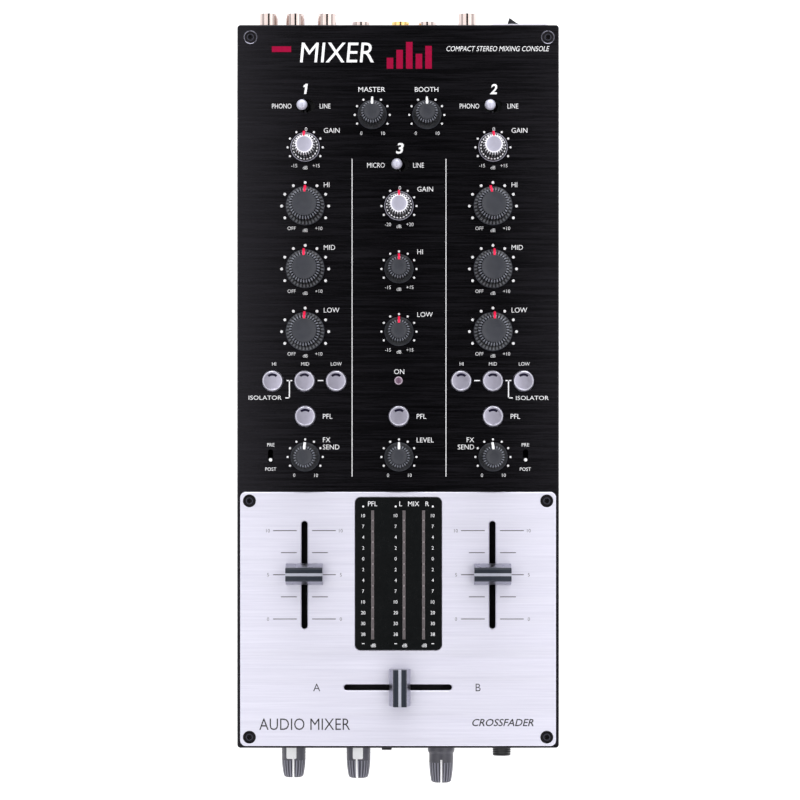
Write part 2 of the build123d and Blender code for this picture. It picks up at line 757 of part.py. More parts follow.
def make_power_rocker():
    """Rocker whose left end stands proud; it turns about an upright axis."""
    pivot_reach = -EDGE_INSET + MODULE_PLATE[2] - ROCKER_PIVOT_IN
    pivot = (INLET_X, PANEL_Y + PANEL_DEPTH / 2 + pivot_reach, ROCKER_Z - ROCKER_HIGH / 2)
    centre_out = ROCKER_PIVOT_IN + 0.3
    end_out = centre_out + ROCKER_HALF * tan(radians(ROCKER_TILT))
    with BuildPart() as rocker:
        with BuildSketch(Plane(pivot).rotated((0, 0, -ROCKER_TILT))):
            Polygon(
                (-ROCKER_HALF, end_out),
                (0, centre_out),
                (ROCKER_HALF, end_out),
                (ROCKER_HALF, -0.3),
                (3.5, -4.5),
                (-3.5, -4.5),
                (-ROCKER_HALF, -0.3),
                align=None,
            )
        extrude(amount=ROCKER_HIGH)
        with BuildSketch(Plane(pivot).offset(-TRUNNION_LONG)):
            Circle(TRUNNION_R)
        extrude(amount=ROCKER_HIGH + 2 * TRUNNION_LONG)
    save(rocker.part, "power_rocker")


# ---- front connector ----------------------------------------------------------------
def make_headphone_jack():
    """Quarter-inch headphone socket: round nose through the panel on a square body."""
    with BuildPart() as jack:
        with BuildSketch(facing_front(-EDGE_INSET - SHEET, PHONE_JACK_X, FRONT_Z)):
            RectangleRounded(13.0, 14.0, 1.0)
        extrude(amount=-28.0)
        with BuildSketch(facing_front(-EDGE_INSET - SHEET, PHONE_JACK_X, FRONT_Z)):
            Circle(4.3)
        extrude(amount=EDGE_INSET + SHEET + PHONE_JACK_NOSE)
        with BuildSketch(facing_front(PHONE_JACK_NOSE, PHONE_JACK_X, FRONT_Z)):
            Circle(PHONE_JACK_BORE_R)
        extrude(amount=-PHONE_JACK_DEPTH, mode=Mode.SUBTRACT)
        chamfer(jack.edges().group_by(Axis.Y)[0], length=0.3)
    save(jack.part, "headphone_jack")


# ---- inside the case ----------------------------------------------------------------
def make_control_board():
    with BuildPart() as board:
        with BuildSketch(level(BOARD_BOTTOM)):
            with Locations((0, 46.0)):
                RectangleRounded(134.0, 182.0, 2.0)
        extrude(amount=BOARD_THICK)
    save(board.part, "control_board")


def make_potentiometers():
    """One housing under each knob, with a collar up to the panel round the shaft."""
    places = [(x, y) for _, x, y, _ in BIG_KNOBS + SMALL_KNOBS]
    front = [(knob[1], FRONT_Z) for knob in FRONT_KNOBS]
    inside = -EDGE_INSET - SHEET
    housing_top = BOARD_TOP + 7.0
    bore_bottom = 55.0
    with BuildPart() as pots:
        with BuildSketch(level(BOARD_TOP)):
            with Locations(*places):
                Rectangle(10.0, 11.0)
        extrude(amount=housing_top - BOARD_TOP)
        with BuildSketch(level(housing_top)):
            with Locations(*places):
                Circle(4.6)
        extrude(amount=PANEL_UNDER - housing_top)
        with BuildSketch(level(bore_bottom)):
            with Locations(*places):
                Circle(SHAFT_R + MOVING_GAP)
        extrude(amount=PANEL_UNDER - bore_bottom, mode=Mode.SUBTRACT)
        with BuildSketch(facing_front(inside)):
            with Locations(*front):
                Rectangle(11.0, 10.0)
        extrude(amount=-9.0)
        with BuildSketch(facing_front(inside)):
            with Locations(*front):
                Circle(SHAFT_R + MOVING_GAP)
        extrude(amount=-6.0, mode=Mode.SUBTRACT)
    save(pots.part, "potentiometers")


def make_switch_bodies():
    """Housings of the push, toggle and slide switches."""
    push = [(x, y) for _, x, y in BUTTONS]
    toggle = [(x, y) for _, x, y in TOGGLES]
    send = [(x, SEND_REST_Y + SEND_TRAVEL / 2) for _, x in SLIDE_SWITCHES]
    inside = -EDGE_INSET - SHEET
    with BuildPart() as bodies:
        with BuildSketch(level(BOARD_TOP)):
            with Locations(*push):
                Rectangle(7.4, 7.4)
        extrude(amount=SWITCH_TOP - BOARD_TOP)
        with BuildSketch(level(PLUNGER_BOTTOM - BUTTON_TRAVEL - MOVING_GAP)):
            with Locations(*push):
                Circle(PLUNGER_R + MOVING_GAP)
        extrude(amount=SWITCH_TOP - BOARD_TOP, mode=Mode.SUBTRACT)
        with BuildSketch(level(BOARD_TOP)):
            with Locations(*toggle):
                Rectangle(12.0, 8.0)
        extrude(amount=TOGGLE_PIVOT - BOARD_TOP)
        with Locations(*[(x, y + PANEL_Y, TOGGLE_PIVOT) for x, y in toggle]):
            Sphere(TOGGLE_SWIVEL_R + MOVING_GAP, mode=Mode.SUBTRACT)
            groove_r = TOGGLE_PIN_R + MOVING_GAP
            groove_long = 2 * (TOGGLE_PIN_HALF + MOVING_GAP)
            Cylinder(groove_r, groove_long, rotation=(90, 0, 0), mode=Mode.SUBTRACT)
        with BuildSketch(level(BOARD_TOP)):
            with Locations(*send):
                Rectangle(5.6, 11.0)
        extrude(amount=SEND_HOUSING_TOP - BOARD_TOP)
        with BuildSketch(level(SEND_KEY_BOTTOM - MOVING_GAP)):
            with Locations(*send):
                Rectangle(SEND_KEY[0] + 2 * MOVING_GAP, SEND_TRAVEL + SEND_KEY[1] + 2 * MOVING_GAP)
        extrude(amount=SEND_HOUSING_TOP - BOARD_TOP, mode=Mode.SUBTRACT)
        with BuildSketch(facing_front(inside, REVERSE_X + REVERSE_TRAVEL / 2, FRONT_Z)):
            Rectangle(11.0, 6.0)
        extrude(amount=-5.0)
        with BuildSketch(facing_front(inside, REVERSE_X + REVERSE_TRAVEL / 2, FRONT_Z)):
            Rectangle(*REVERSE_SLOT)
        extrude(amount=-3.2, mode=Mode.SUBTRACT)
    save(bodies.part, "switch_bodies")


def make_fader_units():
    """Metal fader frames fixed under the panel, each with a slot for its carriage."""
    channel = [(x, FADER_Y) for _, x in CHANNEL_FADERS]
    low = 58.0
    floor = low + 1.4
    carriage_room = FADER_TRAVEL + 8.0 + 2 * MOVING_GAP
    stem_room = FADER_TRAVEL + STEM[1] + 2 * MOVING_GAP
    with BuildPart() as units:
        with BuildSketch(level(low)):
            with Locations(*channel):
                Rectangle(10.0, 74.0)
            with Locations((CROSS_X, CROSS_Y)):
                Rectangle(74.0, 10.0)
        extrude(amount=PANEL_UNDER - low)
        with BuildSketch(level(floor)):
            with Locations(*channel):
                Rectangle(6.0, carriage_room)
            with Locations((CROSS_X, CROSS_Y)):
                Rectangle(carriage_room, 6.0)
        extrude(amount=7.0, mode=Mode.SUBTRACT)
        with BuildSketch(level(floor)):
            with Locations(*channel):
                Rectangle(2.8, stem_room)
            with Locations((CROSS_X, CROSS_Y)):
                Rectangle(stem_room, 2.8)
        extrude(amount=PANEL_UNDER - floor, mode=Mode.SUBTRACT)
    save(units.part, "fader_units")


def make_transformer():
    """Mains transformer that stands on the floor of the case."""
    with BuildPart() as transformer:
        with BuildSketch(level(FLOOR_TOP, 38.0, 105.0)):
            Rectangle(50.0, 26.0)
        extrude(amount=40.0)
        with BuildSketch(level(FLOOR_TOP + 7.0, 38.0, 105.0)):
            RectangleRounded(34.0, 42.0, 4.0)
        extrude(amount=26.0)
        with BuildSketch(level(FLOOR_TOP, 38.0, 105.0)):
            Rectangle(64.0, 16.0)
        extrude(amount=1.5)
    save(transformer.part, "mains_transformer")


def main():
    os.makedirs("parts", exist_ok=True)
    make_knobs()
    make_buttons()
    make_toggles()
    make_send_slides()
    make_reverse_slide()
    make_faders()
    blanks = screw_blanks()
    make_screws(blanks)
    make_top_panel(blanks)
    make_fader_plate(blanks)
    make_meter()
    make_power_led()
    make_chassis_tray(blanks)
    make_front_panel()
    make_rear_panel()
    make_feet()
    phono_shells(PHONO_SOCKETS, "phono_shells")
    phono_shells(GOLD_SOCKET, "digital_phono_shell")
    make_phono_insulators()
    make_ground_post()
    make_inlet_module()
    make_inlet_pins()
    make_power_rocker()
    make_headphone_jack()
    make_control_board()
    make_potentiometers()
    make_switch_bodies()
    make_fader_units()
    make_transformer()


main()
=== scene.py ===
import json
from math import atan2, cos, hypot, pi, radians, sin, tan

import bmesh
import bpy
from mathutils import Matrix, Vector


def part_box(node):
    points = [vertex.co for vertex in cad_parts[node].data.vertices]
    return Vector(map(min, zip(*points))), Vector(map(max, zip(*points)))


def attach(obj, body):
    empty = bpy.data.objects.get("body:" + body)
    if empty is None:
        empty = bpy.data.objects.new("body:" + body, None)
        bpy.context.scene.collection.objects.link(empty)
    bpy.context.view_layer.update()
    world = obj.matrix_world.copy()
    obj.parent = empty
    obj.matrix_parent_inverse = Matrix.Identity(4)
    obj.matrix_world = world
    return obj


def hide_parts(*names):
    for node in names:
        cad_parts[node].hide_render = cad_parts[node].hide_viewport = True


# Looks of the three-channel DJ mixer. Shapes below are written in millimetres and
# scaled to metres as they become meshes. (x, y) places on the top are counted from
# the middle of the top panel, as in the CAD model, and heights from the ground.

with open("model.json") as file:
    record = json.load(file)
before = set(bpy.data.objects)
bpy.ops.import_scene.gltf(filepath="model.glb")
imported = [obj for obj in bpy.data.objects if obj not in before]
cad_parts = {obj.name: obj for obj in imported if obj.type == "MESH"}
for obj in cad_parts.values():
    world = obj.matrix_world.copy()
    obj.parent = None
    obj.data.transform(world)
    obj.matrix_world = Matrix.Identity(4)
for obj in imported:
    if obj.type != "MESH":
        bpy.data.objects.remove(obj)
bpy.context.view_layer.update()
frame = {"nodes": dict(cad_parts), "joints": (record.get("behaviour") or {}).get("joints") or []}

MM = 0.001
PIVOT = {j["child"]: [c / MM for c in j["pos_m"]] for j in frame["joints"] if j.get("pos_m")}


def span(node):
    """Lowest and highest corner of a CAD node, in millimetres."""
    low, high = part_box(node)
    return low / MM, high / MM


PANEL_LOW, PANEL_HIGH = span("top_panel")
PANEL_TOP = PANEL_HIGH.z
PLATE_TOP = span("fader_plate")[1].z
METER_TOP = span("meter_bezel")[1].z
PANEL_Y = (PANEL_LOW.y + PANEL_HIGH.y) / 2


def new_object(name, data):
    made = bpy.data.objects.new(name, data)
    bpy.context.scene.collection.objects.link(made)
    return made


# ---- camera ----
def make_camera():
    """Straight down over the fader end, from far away; the shifts bring the mixer into the frame."""
    data = bpy.data.cameras.new("camera")
    data.lens = 147.9
    data.sensor_width = 36.0
    data.shift_x = 0.0013
    data.shift_y = 0.1087
    data.clip_start = 0.05
    camera = new_object("camera", data)
    camera.location = (0.0004, -0.0437, 1.572)
    bpy.context.scene.camera = camera


make_camera()


# ---- solids: each is (vertices, faces) in millimetres ----
def turned(profile, steps, groove=None):
    """Shape turned about z from (radius, height) pairs; groove(angle, radius, height) cuts in."""
    verts, faces, rings = [], [], []
    for radius, height in profile:
        start = len(verts)
        for step in range(steps if radius else 1):
            angle = 2 * pi * step / steps
            r = radius - groove(angle, radius, height) if groove and radius else radius
            verts.append((r * cos(angle), r * sin(angle), height))
        rings.append(range(start, len(verts)))
    for low, high in zip(rings, rings[1:]):
        for i in range(steps):
            j = (i + 1) % steps
            if len(low) == 1:
                faces.append((low[0], high[j], high[i]))
            elif len(high) == 1:
                faces.append((low[i], low[j], high[0]))
            else:
                faces.append((low[i], low[j], high[j], high[i]))
    return verts, faces


def solid_of(mesh):
    """Vertices and faces of a bmesh, which is then freed."""
    mesh.verts.index_update()
    verts = [tuple(v.co) for v in mesh.verts]
    faces = [tuple(v.index for v in f.verts) for f in mesh.faces]
    mesh.free()
    return verts, faces


def prism(outline, low, high, bevel=0.15, segments=2):
    """Outline of (x, y) points pushed from z low to high, with edges rounded by bevel."""
    mesh = bmesh.new()
    bottom = [mesh.verts.new((x, y, low)) for x, y in outline]
    top = [mesh.verts.new((x, y, high)) for x, y in outline]
    mesh.faces.new(bottom[::-1])
    mesh.faces.new(top)
    for i in range(len(outline)):
        j = (i + 1) % len(outline)
        mesh.faces.new((bottom[i], bottom[j], top[j], top[i]))
    bmesh.ops.recalc_face_normals(mesh, faces=mesh.faces)
    if bevel > 0:
        edges = list(mesh.edges)
        bmesh.ops.bevel(mesh, geom=edges, offset=bevel, segments=segments, profile=0.6, affect="EDGES")
    return solid_of(mesh)


def rectangle(wide, deep, x=0.0, y=0.0):
    left, right = x - wide / 2, x + wide / 2
    near, far = y - deep / 2, y + deep / 2
    return [(left, near), (right, near), (right, far), (left, far)]


def arc_band(radius, width, start, stop):
    """Outline of a band bent round the origin between two angles in degrees."""
    steps = 14
    inner = radius - width / 2
    outer = radius + width / 2
    angles = [radians(start + (stop - start) * i / steps) for i in range(steps + 1)]
    points = [(outer * cos(a), outer * sin(a)) for a in angles]
    points += [(inner * cos(a), inner * sin(a)) for a in reversed(angles)]
    return points


def rounded_rectangle(wide, deep, radius):
    """Rectangle outline with quarter-round corners."""
    points = []
    for corner, (side_x, side_y) in enumerate(((1, 1), (-1, 1), (-1, -1), (1, -1))):
        middle_x = side_x * (wide / 2 - radius)
        middle_y = side_y * (deep / 2 - radius)
        for step in range(5):
            angle = radians(90 * corner + 22.5 * step)
            points.append((middle_x + radius * cos(angle), middle_y + radius * sin(angle)))
    return points


def cylinder(radius, low, high):
    return turned([(0, low), (radius, low), (radius, high), (0, high)], 48)


def rod(radius, low, high, edge, steps):
    """Upright pin whose two ends are cut back by edge."""
    bottom = [(0, low), (radius - edge, low), (radius, low + edge)]
    return turned(bottom + [(radius, high - edge), (radius - edge, high), (0, high)], steps)


def moved(solid, place):
    return [place @ Vector(v) for v in solid[0]], solid[1]


def mesh_object(name, solid):
    """Object whose mesh takes a solid's numbers as metres."""
    mesh = bpy.data.meshes.new(name)
    mesh.from_pydata(solid[0], [], solid[1])
    return new_object(name, mesh)


def carved(solid, cutters):
    """A solid with other solids cut out of it."""
    verts, faces = [], []
    for cutter in cutters:
        start = len(verts)
        verts += cutter[0]
        faces += [tuple(start + i for i in face) for face in cutter[1]]
    blank = mesh_object("blank", solid)
    blade = mesh_object("blade", (verts, faces))
    cut = blank.modifiers.new("cut", "BOOLEAN")
    cut.operation = "DIFFERENCE"
    cut.solver = "EXACT"
    cut.use_self = True
    cut.object = blade
    graph = bpy.context.evaluated_depsgraph_get()
    result = blank.evaluated_get(graph).to_mesh()
    left = ([tuple(v.co) for v in result.vertices], [tuple(p.vertices) for p in result.polygons])
    for made in (blank, blade):
        bpy.data.objects.remove(made)
    return left


def shift(x, y, z):
    return Matrix.Translation((x, y, z))


def spin(degrees, axis="Z"):
    return Matrix.Rotation(radians(degrees), 4, axis)


def over(node, z=0.0):
    """Place at height z over the middle of a CAD node."""
    low, high = span(node)
    return shift((low.x + high.x) / 2, (low.y + high.y) / 2, z)


# Frames that stand a solid drawn in (x, y) pushed along z on its side.
SIDEWAYS = Matrix(((0, 0, 1, 0), (1, 0, 0, 0), (0, 1, 0, 0), (0, 0, 0, 1)))
OUT_OF_FRONT = Matrix(((1, 0, 0, 0), (0, 0, -1, 0), (0, 1, 0, 0), (0, 0, 0, 1)))
OUT_OF_REAR = Matrix(((-1, 0, 0, 0), (0, 0, 1, 0), (0, 1, 0, 0), (0, 0, 0, 1)))
# Edges bent more than this many degrees stay sharp.
SHARP_ANGLE = 38.0


class Piece:
    """Solids with their materials that become one object riding on a body."""

    def __init__(self, name):
        self.name = name
        self.verts, self.faces = [], []
        self.looks, self.face_looks = [], []

    def add(self, solid, look, place=None, paint=None):
        """paint, if given, picks a face's look from the face's middle, or None for the main one."""
        start = len(self.verts)
        place = place or Matrix.Identity(4)
        self.verts += [place @ Vector(v) for v in solid[0]]
        for face in solid[1]:
            middle = sum((Vector(solid[0][i]) for i in face), Vector()) / len(face)
            chosen = (paint(middle) if paint else None) or look
            if chosen not in self.looks:
                self.looks.append(chosen)
            self.faces.append(tuple(start + i for i in face))
            self.face_looks.append(self.looks.index(chosen))

    def finish(self, slot, replaces=(), body="case"):
        piece = mesh_object(self.name, ([v * MM for v in self.verts], self.faces))
        mesh = piece.data
        for look in self.looks:
            mesh.materials.append(look)
        mesh.polygons.foreach_set("material_index", self.face_looks)
        mesh.polygons.foreach_set("use_smooth", [True] * len(self.faces))
        mesh.validate()
        mesh.set_sharp_from_angle(angle=radians(SHARP_ANGLE))
        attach(piece, body)
        if replaces:
            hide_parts(*replaces)


# ---- materials ----
def new_node(tree, kind, links=(), **settings):
    """Shader node; each of its linked inputs takes another node's output or a value."""
    made = tree.nodes.new("ShaderNode" + kind)
    for key, value in settings.items():
        setattr(made, key, value)
    for socket, source in links:
        if isinstance(source, bpy.types.NodeSocket):
            tree.links.new(source, made.inputs[socket])
        else:
            made.inputs[socket].default_value = source
    return made


class Look:
    """A Principled material and short calls that add its texture nodes."""

    def __init__(self, name, colour, roughness, metallic=0.0, **sockets):
        self.material = bpy.data.materials.new(name)
        self.material.use_nodes = True
        self.tree = self.material.node_tree
        self.shader = self.tree.nodes["Principled BSDF"]
        self.set("Base Color", (*colour, 1.0))
        self.set("Roughness", roughness)
        self.set("Metallic", metallic)
        for socket, value in sockets.items():
            self.set(socket.replace("_", " "), value)

    def set(self, socket, value):
        self.shader.inputs[socket].default_value = value

    def node(self, kind, links=(), **settings):
        return new_node(self.tree, kind, links, **settings)

    def link(self, source, socket):
        self.tree.links.new(source, self.shader.inputs[socket])

    def noise(self, scale, stretch=(1, 1, 1), detail=3.0, roughness=0.6):
        """Noise in the object's own metres; stretch shortens or lengthens its cells."""
        coordinates = self.node("TexCoord")
        mapping = self.node("Mapping", [("Vector", coordinates.outputs["Object"]), ("Scale", stretch)])
        links = [("Vector", mapping.outputs["Vector"]), ("Scale", scale), ("Detail", detail)]
        return self.node("TexNoise", links + [("Roughness", roughness)]).outputs["Fac"]

    def remap(self, source, from_low, from_high, low, high):
        sockets = ("Value", "From Min", "From Max", "To Min", "To Max")
        made = self.node("MapRange", zip(sockets, (source, from_low, from_high, low, high)))
        return made.outputs["Result"]

    def shades(self, source, dark, light, low=0.35, high=0.65):
        """Base colour between two colours, by a texture value."""
        factor = self.remap(source, low, high, 0.0, 1.0)
        mix = self.node("Mix", [("Factor", factor)], data_type="RGBA")
        ends = [socket for socket in mix.inputs if socket.type == "RGBA"]
        ends[0].default_value = (*dark, 1.0)
        ends[1].default_value = (*light, 1.0)
        result = [socket for socket in mix.outputs if socket.type == "RGBA"][0]
        self.link(result, "Base Color")

    def vary_gloss(self, source, low, high):
        self.link(self.remap(source, 0.3, 0.7, low, high), "Roughness")

    def bump(self, source, strength, depth):
        """Fine relief; depth in millimetres."""
        made = self.node("Bump", [("Height", source), ("Strength", strength), ("Distance", depth * MM)])
        self.link(made.outputs["Normal"], "Normal")

    def brush_across(self):
        """Highlights spread along y, across the brush lines."""
        made = self.node("CombineXYZ", [("X", 0.0), ("Y", 1.0), ("Z", 0.0)])
        self.link(made.outputs["Vector"], "Tangent")


def around(colour, darker, lighter):
    """A darker and a lighter tone of a colour, by parts of it."""
    return [tuple(c * factor for c in colour) for factor in (1.0 - darker, 1.0 + lighter)]


def brushed_black():
    """Black anodised aluminium brushed across the panel."""
    look = Look("brushed_black", (0.012, 0.0115, 0.014), 0.27, Anisotropic=0.6, Specular_IOR_Level=0.33)
    look.set("Specular Tint", (0.90, 0.85, 1.0, 1.0))
    streaks = look.noise(900.0, (0.03, 1.0, 1.0), detail=4.0, roughness=0.75)
    look.shades(streaks, (0.0003, 0.0003, 0.0004), (0.0022, 0.0020, 0.0028), 0.44, 0.70)
    look.vary_gloss(streaks, 0.2, 0.34)
    look.bump(streaks, 0.35, 0.03)
    look.brush_across()
    return look.material


def brushed_bright():
    """Clear anodised aluminium plate, brushed the same way but finer."""
    look = Look("brushed_bright", (0.80, 0.79, 0.86), 0.58, 1.0, Anisotropic=0.4)
    streaks = look.noise(1100.0, (0.02, 1.0, 1.0), detail=4.0, roughness=0.7)
    look.shades(streaks, (0.69, 0.68, 0.78), (0.775, 0.765, 0.86), 0.3, 0.7)
    look.vary_gloss(look.noise(240.0, (0.02, 1.0, 1.0)), 0.54, 0.62)
    look.bump(streaks, 0.18, 0.02)
    look.brush_across()
    return look.material


def grained(name, colour, roughness, grain=2600.0, strength=0.25, spread=0.12, uneven=0.07, **sockets):
    """Moulded or painted surface with a fine grain, slight tone drift and uneven gloss."""
    look = Look(name, colour, roughness, **sockets)
    drift = look.noise(90.0, detail=5.0)
    look.shades(drift, *around(colour, spread, spread))
    look.vary_gloss(look.noise(420.0), roughness - uneven, roughness + uneven)
    look.bump(look.noise(grain, detail=2.0), strength, 0.02)
    return look.material


def plated(name, colour, roughness, spread=0.06):
    """Plated or polished metal with faint smears."""
    look = Look(name, colour, roughness, 1.0)
    smear = look.noise(160.0, (1.0, 1.0, 0.35), detail=5.0)
    look.shades(smear, *around(colour, spread, spread))
    look.vary_gloss(look.noise(380.0), roughness * 0.75, roughness * 1.35)
    look.bump(look.noise(900.0, detail=4.0), 0.06, 0.01)
    return look.material


def satin(name, colour, roughness, spread=0.03, metallic=0.9):
    """Metallised plastic: softer than polished metal, with a faint even grain."""
    look = Look(name, colour, roughness, metallic)
    look.shades(look.noise(500.0, detail=4.0), *around(colour, spread, spread))
    look.vary_gloss(look.noise(700.0), roughness - 0.03, roughness + 0.04)
    look.bump(look.noise(3200.0, detail=2.0), 0.12, 0.006)
    return look.material


def laminated_steel():
    """Transformer core of thin stamped sheets with varnish between them."""
    look = Look("laminated_steel", (0.16, 0.15, 0.14), 0.45, 0.9)
    sheets = look.noise(700.0, (0.02, 1.0, 0.02), detail=2.0)
    look.shades(sheets, (0.05, 0.045, 0.04), (0.24, 0.22, 0.2))
    look.bump(sheets, 0.5, 0.1)
    return look.material


def circuit_board():
    """Green solder mask over copper, seen as lighter wandering tracks."""
    look = Look("circuit_board", (0.01, 0.09, 0.04), 0.35, Coat_Weight=0.4)
    tracks = look.noise(260.0, (1.0, 0.25, 1.0), detail=0.0)
    look.shades(tracks, (0.006, 0.055, 0.022), (0.015, 0.13, 0.055), 0.47, 0.53)
    look.bump(tracks, 0.3, 0.04)
    return look.material


def ink(name, colour, roughness=0.6, shine=0.25):
    """Screen-printed ink, slightly uneven."""
    look = Look(name, colour, roughness, Specular_IOR_Level=shine)
    look.shades(look.noise(700.0, detail=4.0), *around(colour, 0.1, 0.04))
    look.bump(look.noise(3000.0), 0.15, 0.01)
    return look.material


PANEL_BLACK = brushed_black()
PLATE_BRIGHT = brushed_bright()
SHEET_BLACK = grained("powder_coat", (0.014, 0.014, 0.016), 0.5, grain=1500.0, strength=0.45)
KNOB_SLATE = grained("knob_slate", (0.025, 0.027, 0.036), 0.42)
# Painted shade in the knobs' grooves; on the silver knobs it also darkens the flare as a painted
# reflection of the dark panel.
KNOB_PAINTED_SHADE = grained("knob_painted_shade", (0.006, 0.006, 0.008), 0.45)
# Painted highlight on the rib ends of the knobs' sloping shoulders.
KNOB_RIB_HIGHLIGHT = grained("knob_rib_highlight", (0.21, 0.22, 0.26), 0.35, spread=0.05)
# Painted highlight on the rib crests of the big knobs' flare.
KNOB_FLARE_HIGHLIGHT = grained("knob_flare_highlight", (0.12, 0.125, 0.14), 0.35, spread=0.05)
KNOB_SKIRT = grained("knob_skirt", (0.017, 0.018, 0.021), 0.36)
KNOB_SILVER = satin("knob_silver", (0.46, 0.45, 0.55), 0.35, metallic=0.4)
# Painted reflection of the dark panel on the silver knobs' grip ribs and between the top edge's scallops.
SILVER_DARK_REFLECTION = satin("silver_dark_reflection", (0.16, 0.16, 0.19), 0.35)
# Painted highlight on the silver knobs' top edge, rib ends and shelf dots.
SILVER_HIGHLIGHT = satin("silver_highlight", (0.88, 0.87, 0.93), 0.35, metallic=0.4)
POINTER_RED = grained("pointer_red", (0.87, 0.010, 0.07), 0.4, spread=0.05)
POINTER_WHITE = grained("pointer_white", (0.95, 0.95, 0.97), 0.4, spread=0.02)
FRONT_SLATE = grained("front_slate", (0.072, 0.070, 0.090), 0.4)
# Painted highlight on the front knobs' rib crests.
FRONT_RIB_HIGHLIGHT = grained("front_rib_highlight", (0.21, 0.21, 0.26), 0.4, spread=0.05)
CHROME = plated("chrome", (0.84, 0.83, 0.88), 0.07, spread=0.04)
TOGGLE_SATIN = satin("toggle_satin", (0.56, 0.56, 0.67), 0.4, metallic=0.35)
NICKEL = plated("nickel", (0.62, 0.52, 0.49), 0.08)
GOLD = plated("gold", (0.95, 0.62, 0.24), 0.16)
DARK_STEEL = plated("dark_steel", (0.05, 0.05, 0.055), 0.4)
SHAFT_STEEL = plated("shaft_steel", (0.5, 0.49, 0.48), 0.3)
BLADE = plated("blade_nickel", (0.7, 0.66, 0.6), 0.2)
METER_BLACK = grained(
    "meter_black", (0.003, 0.0036, 0.004), 0.26, strength=0.03, uneven=0.02, Specular_IOR_Level=0.22
)
SEGMENT = grained("light_segment", (0.10, 0.085, 0.09), 0.3, strength=0.1, Coat_Weight=0.3)
SEGMENT_END = grained("light_segment_end", (0.22, 0.19, 0.20), 0.3, strength=0.1)
LED_LENS = grained("led_lens", (0.13, 0.07, 0.12), 0.25, strength=0.08, Coat_Weight=0.4)
LED_RIM = grained("led_rim", (0.45, 0.36, 0.44), 0.3, strength=0.08)
SCREW_RING = plated("screw_ring", (0.05, 0.05, 0.065), 0.4)
SCREW_BLACK = plated("screw_black", (0.015, 0.014, 0.016), 0.34, spread=0.2)
BARE_EDGE = satin("bare_edge", (0.14, 0.137, 0.17), 0.18)
RUBBER = grained("foot_rubber", (0.012, 0.012, 0.012), 0.75, grain=1800.0, strength=0.5)
MOULDING = grained("black_moulding", (0.013, 0.013, 0.015), 0.35, grain=2000.0)
INSULATOR_WHITE = grained("insulator_white", (0.75, 0.74, 0.72), 0.4)
INSULATOR_RED = grained("insulator_red", (0.5, 0.015, 0.02), 0.4)
BUTTON_CAP = satin("button_cap", (0.52, 0.50, 0.61), 0.34)
BUTTON_RIM = satin("button_rim", (0.70, 0.69, 0.79), 0.34, metallic=0.7)
SWITCH_BLACK = grained("switch_black", (0.004, 0.004, 0.005), 0.6)
LENS_DARK = grained("button_lens", (0.008, 0.006, 0.02), 0.3, strength=0.1, Specular_IOR_Level=0.15)
ROCKER_BLACK = grained("rocker_black", (0.02, 0.02, 0.024), 0.22, strength=0.08)
MODULE_GREY = grained("module_grey", (0.68, 0.66, 0.76), 0.4, spread=0.05)
FADER_SILVER = plated("fader_silver", (0.34, 0.34, 0.39), 0.3)
FADER_SLATE = grained("fader_slate", (0.007, 0.011, 0.020), 0.42, Specular_IOR_Level=0.34)
FADER_LINE = grained("fader_line", (0.33, 0.34, 0.40), 0.35)
BOARD = circuit_board()
CORE = laminated_steel()
INK_WHITE = ink("ink_white", (0.88, 0.88, 0.9))
INK_CRIMSON = ink("ink_crimson", (0.30, 0.001, 0.035), shine=0.08)
INK_GREY = ink("ink_grey", (0.12, 0.11, 0.12))
INK_DARK = ink("ink_dark", (0.03, 0.028, 0.032))

CAD_LOOKS = [
    (PANEL_BLACK, "top_panel"),
    (PLATE_BRIGHT, "fader_plate"),
    (SHEET_BLACK, "chassis_tray", "front_panel", "rear_panel"),
    (RUBBER, "rubber_feet"),
    (METER_BLACK, "meter_bezel"),
    (NICKEL, "phono_shells"),
    (GOLD, "digital_phono_shell"),
    (BLADE, "inlet_pins"),
    (BOARD, "control_board"),
    (DARK_STEEL, "potentiometers", "fader_units"),
    (SWITCH_BLACK, "switch_bodies"),
    (CORE, "mains_transformer"),
    (MOULDING, "reverse_slide"),
]


def dress_cad_nodes():
    for look, *names in CAD_LOOKS:
        for name in names:
            materials = frame["nodes"][name].data.materials
            materials.clear()
            materials.append(look)


# ---- rotary knobs ----
# Air below a knob's foot, and the height of its top edge above the foot.
KNOB_GAP = 0.8
KNOB_HEIGHT = 15.0
# Heights on a knob's side, from its foot: where the rim ends, where the flare ends, and
# the stretch that the sloping shoulder takes up.
RIM_TOP = 1.3
FLARE_TOP = 3.6
SHOULDER_LOW = 11.9
SHOULDER_HIGH = 14.4
BIG_RIBS = 32
SMALL_RIBS = 24
FRONT_RIBS = 22


def fluted(count, depth, foot, top):
    """Narrow grooves between the ribs, from just above the foot to the top edge."""

    def groove(angle, radius, height):
        ramp = min(1.0, max(0.0, (height - foot) / 1.2)) * min(1.0, max(0.0, (top - height) / 0.9))
        pocket = max(0.0, cos(angle * count) + 0.15) / 1.15
        return depth * ramp * pocket**0.8

    return groove


def on_crest(middle, count, edge=-0.15):
    """Whether a face lies on a rib; a higher edge takes in more of the rib's flanks."""
    return cos(atan2(middle.y, middle.x) * count) < edge


def dark_knob_paint(count, big):
    """Painted highlights on the rib ends of the sloping shoulder and, on big knobs, on the flare's rib
    crests, with painted shade in the grooves between them, over a darker grip and skirt.
    """

    def paint(middle):
        # Painted highlights on the flare's rib crests, painted shade between them.
        if big and 1.6 < middle.z < FLARE_TOP:
            return KNOB_FLARE_HIGHLIGHT if on_crest(middle, count) else KNOB_PAINTED_SHADE
        if RIM_TOP < middle.z < SHOULDER_LOW:
            return KNOB_SKIRT
        # Painted highlights on the shoulder's rib ends, painted shade in the grooves.
        if SHOULDER_LOW < middle.z < SHOULDER_HIGH:
            return KNOB_RIB_HIGHLIGHT if on_crest(middle, count) else KNOB_PAINTED_SHADE
        return None

    return paint


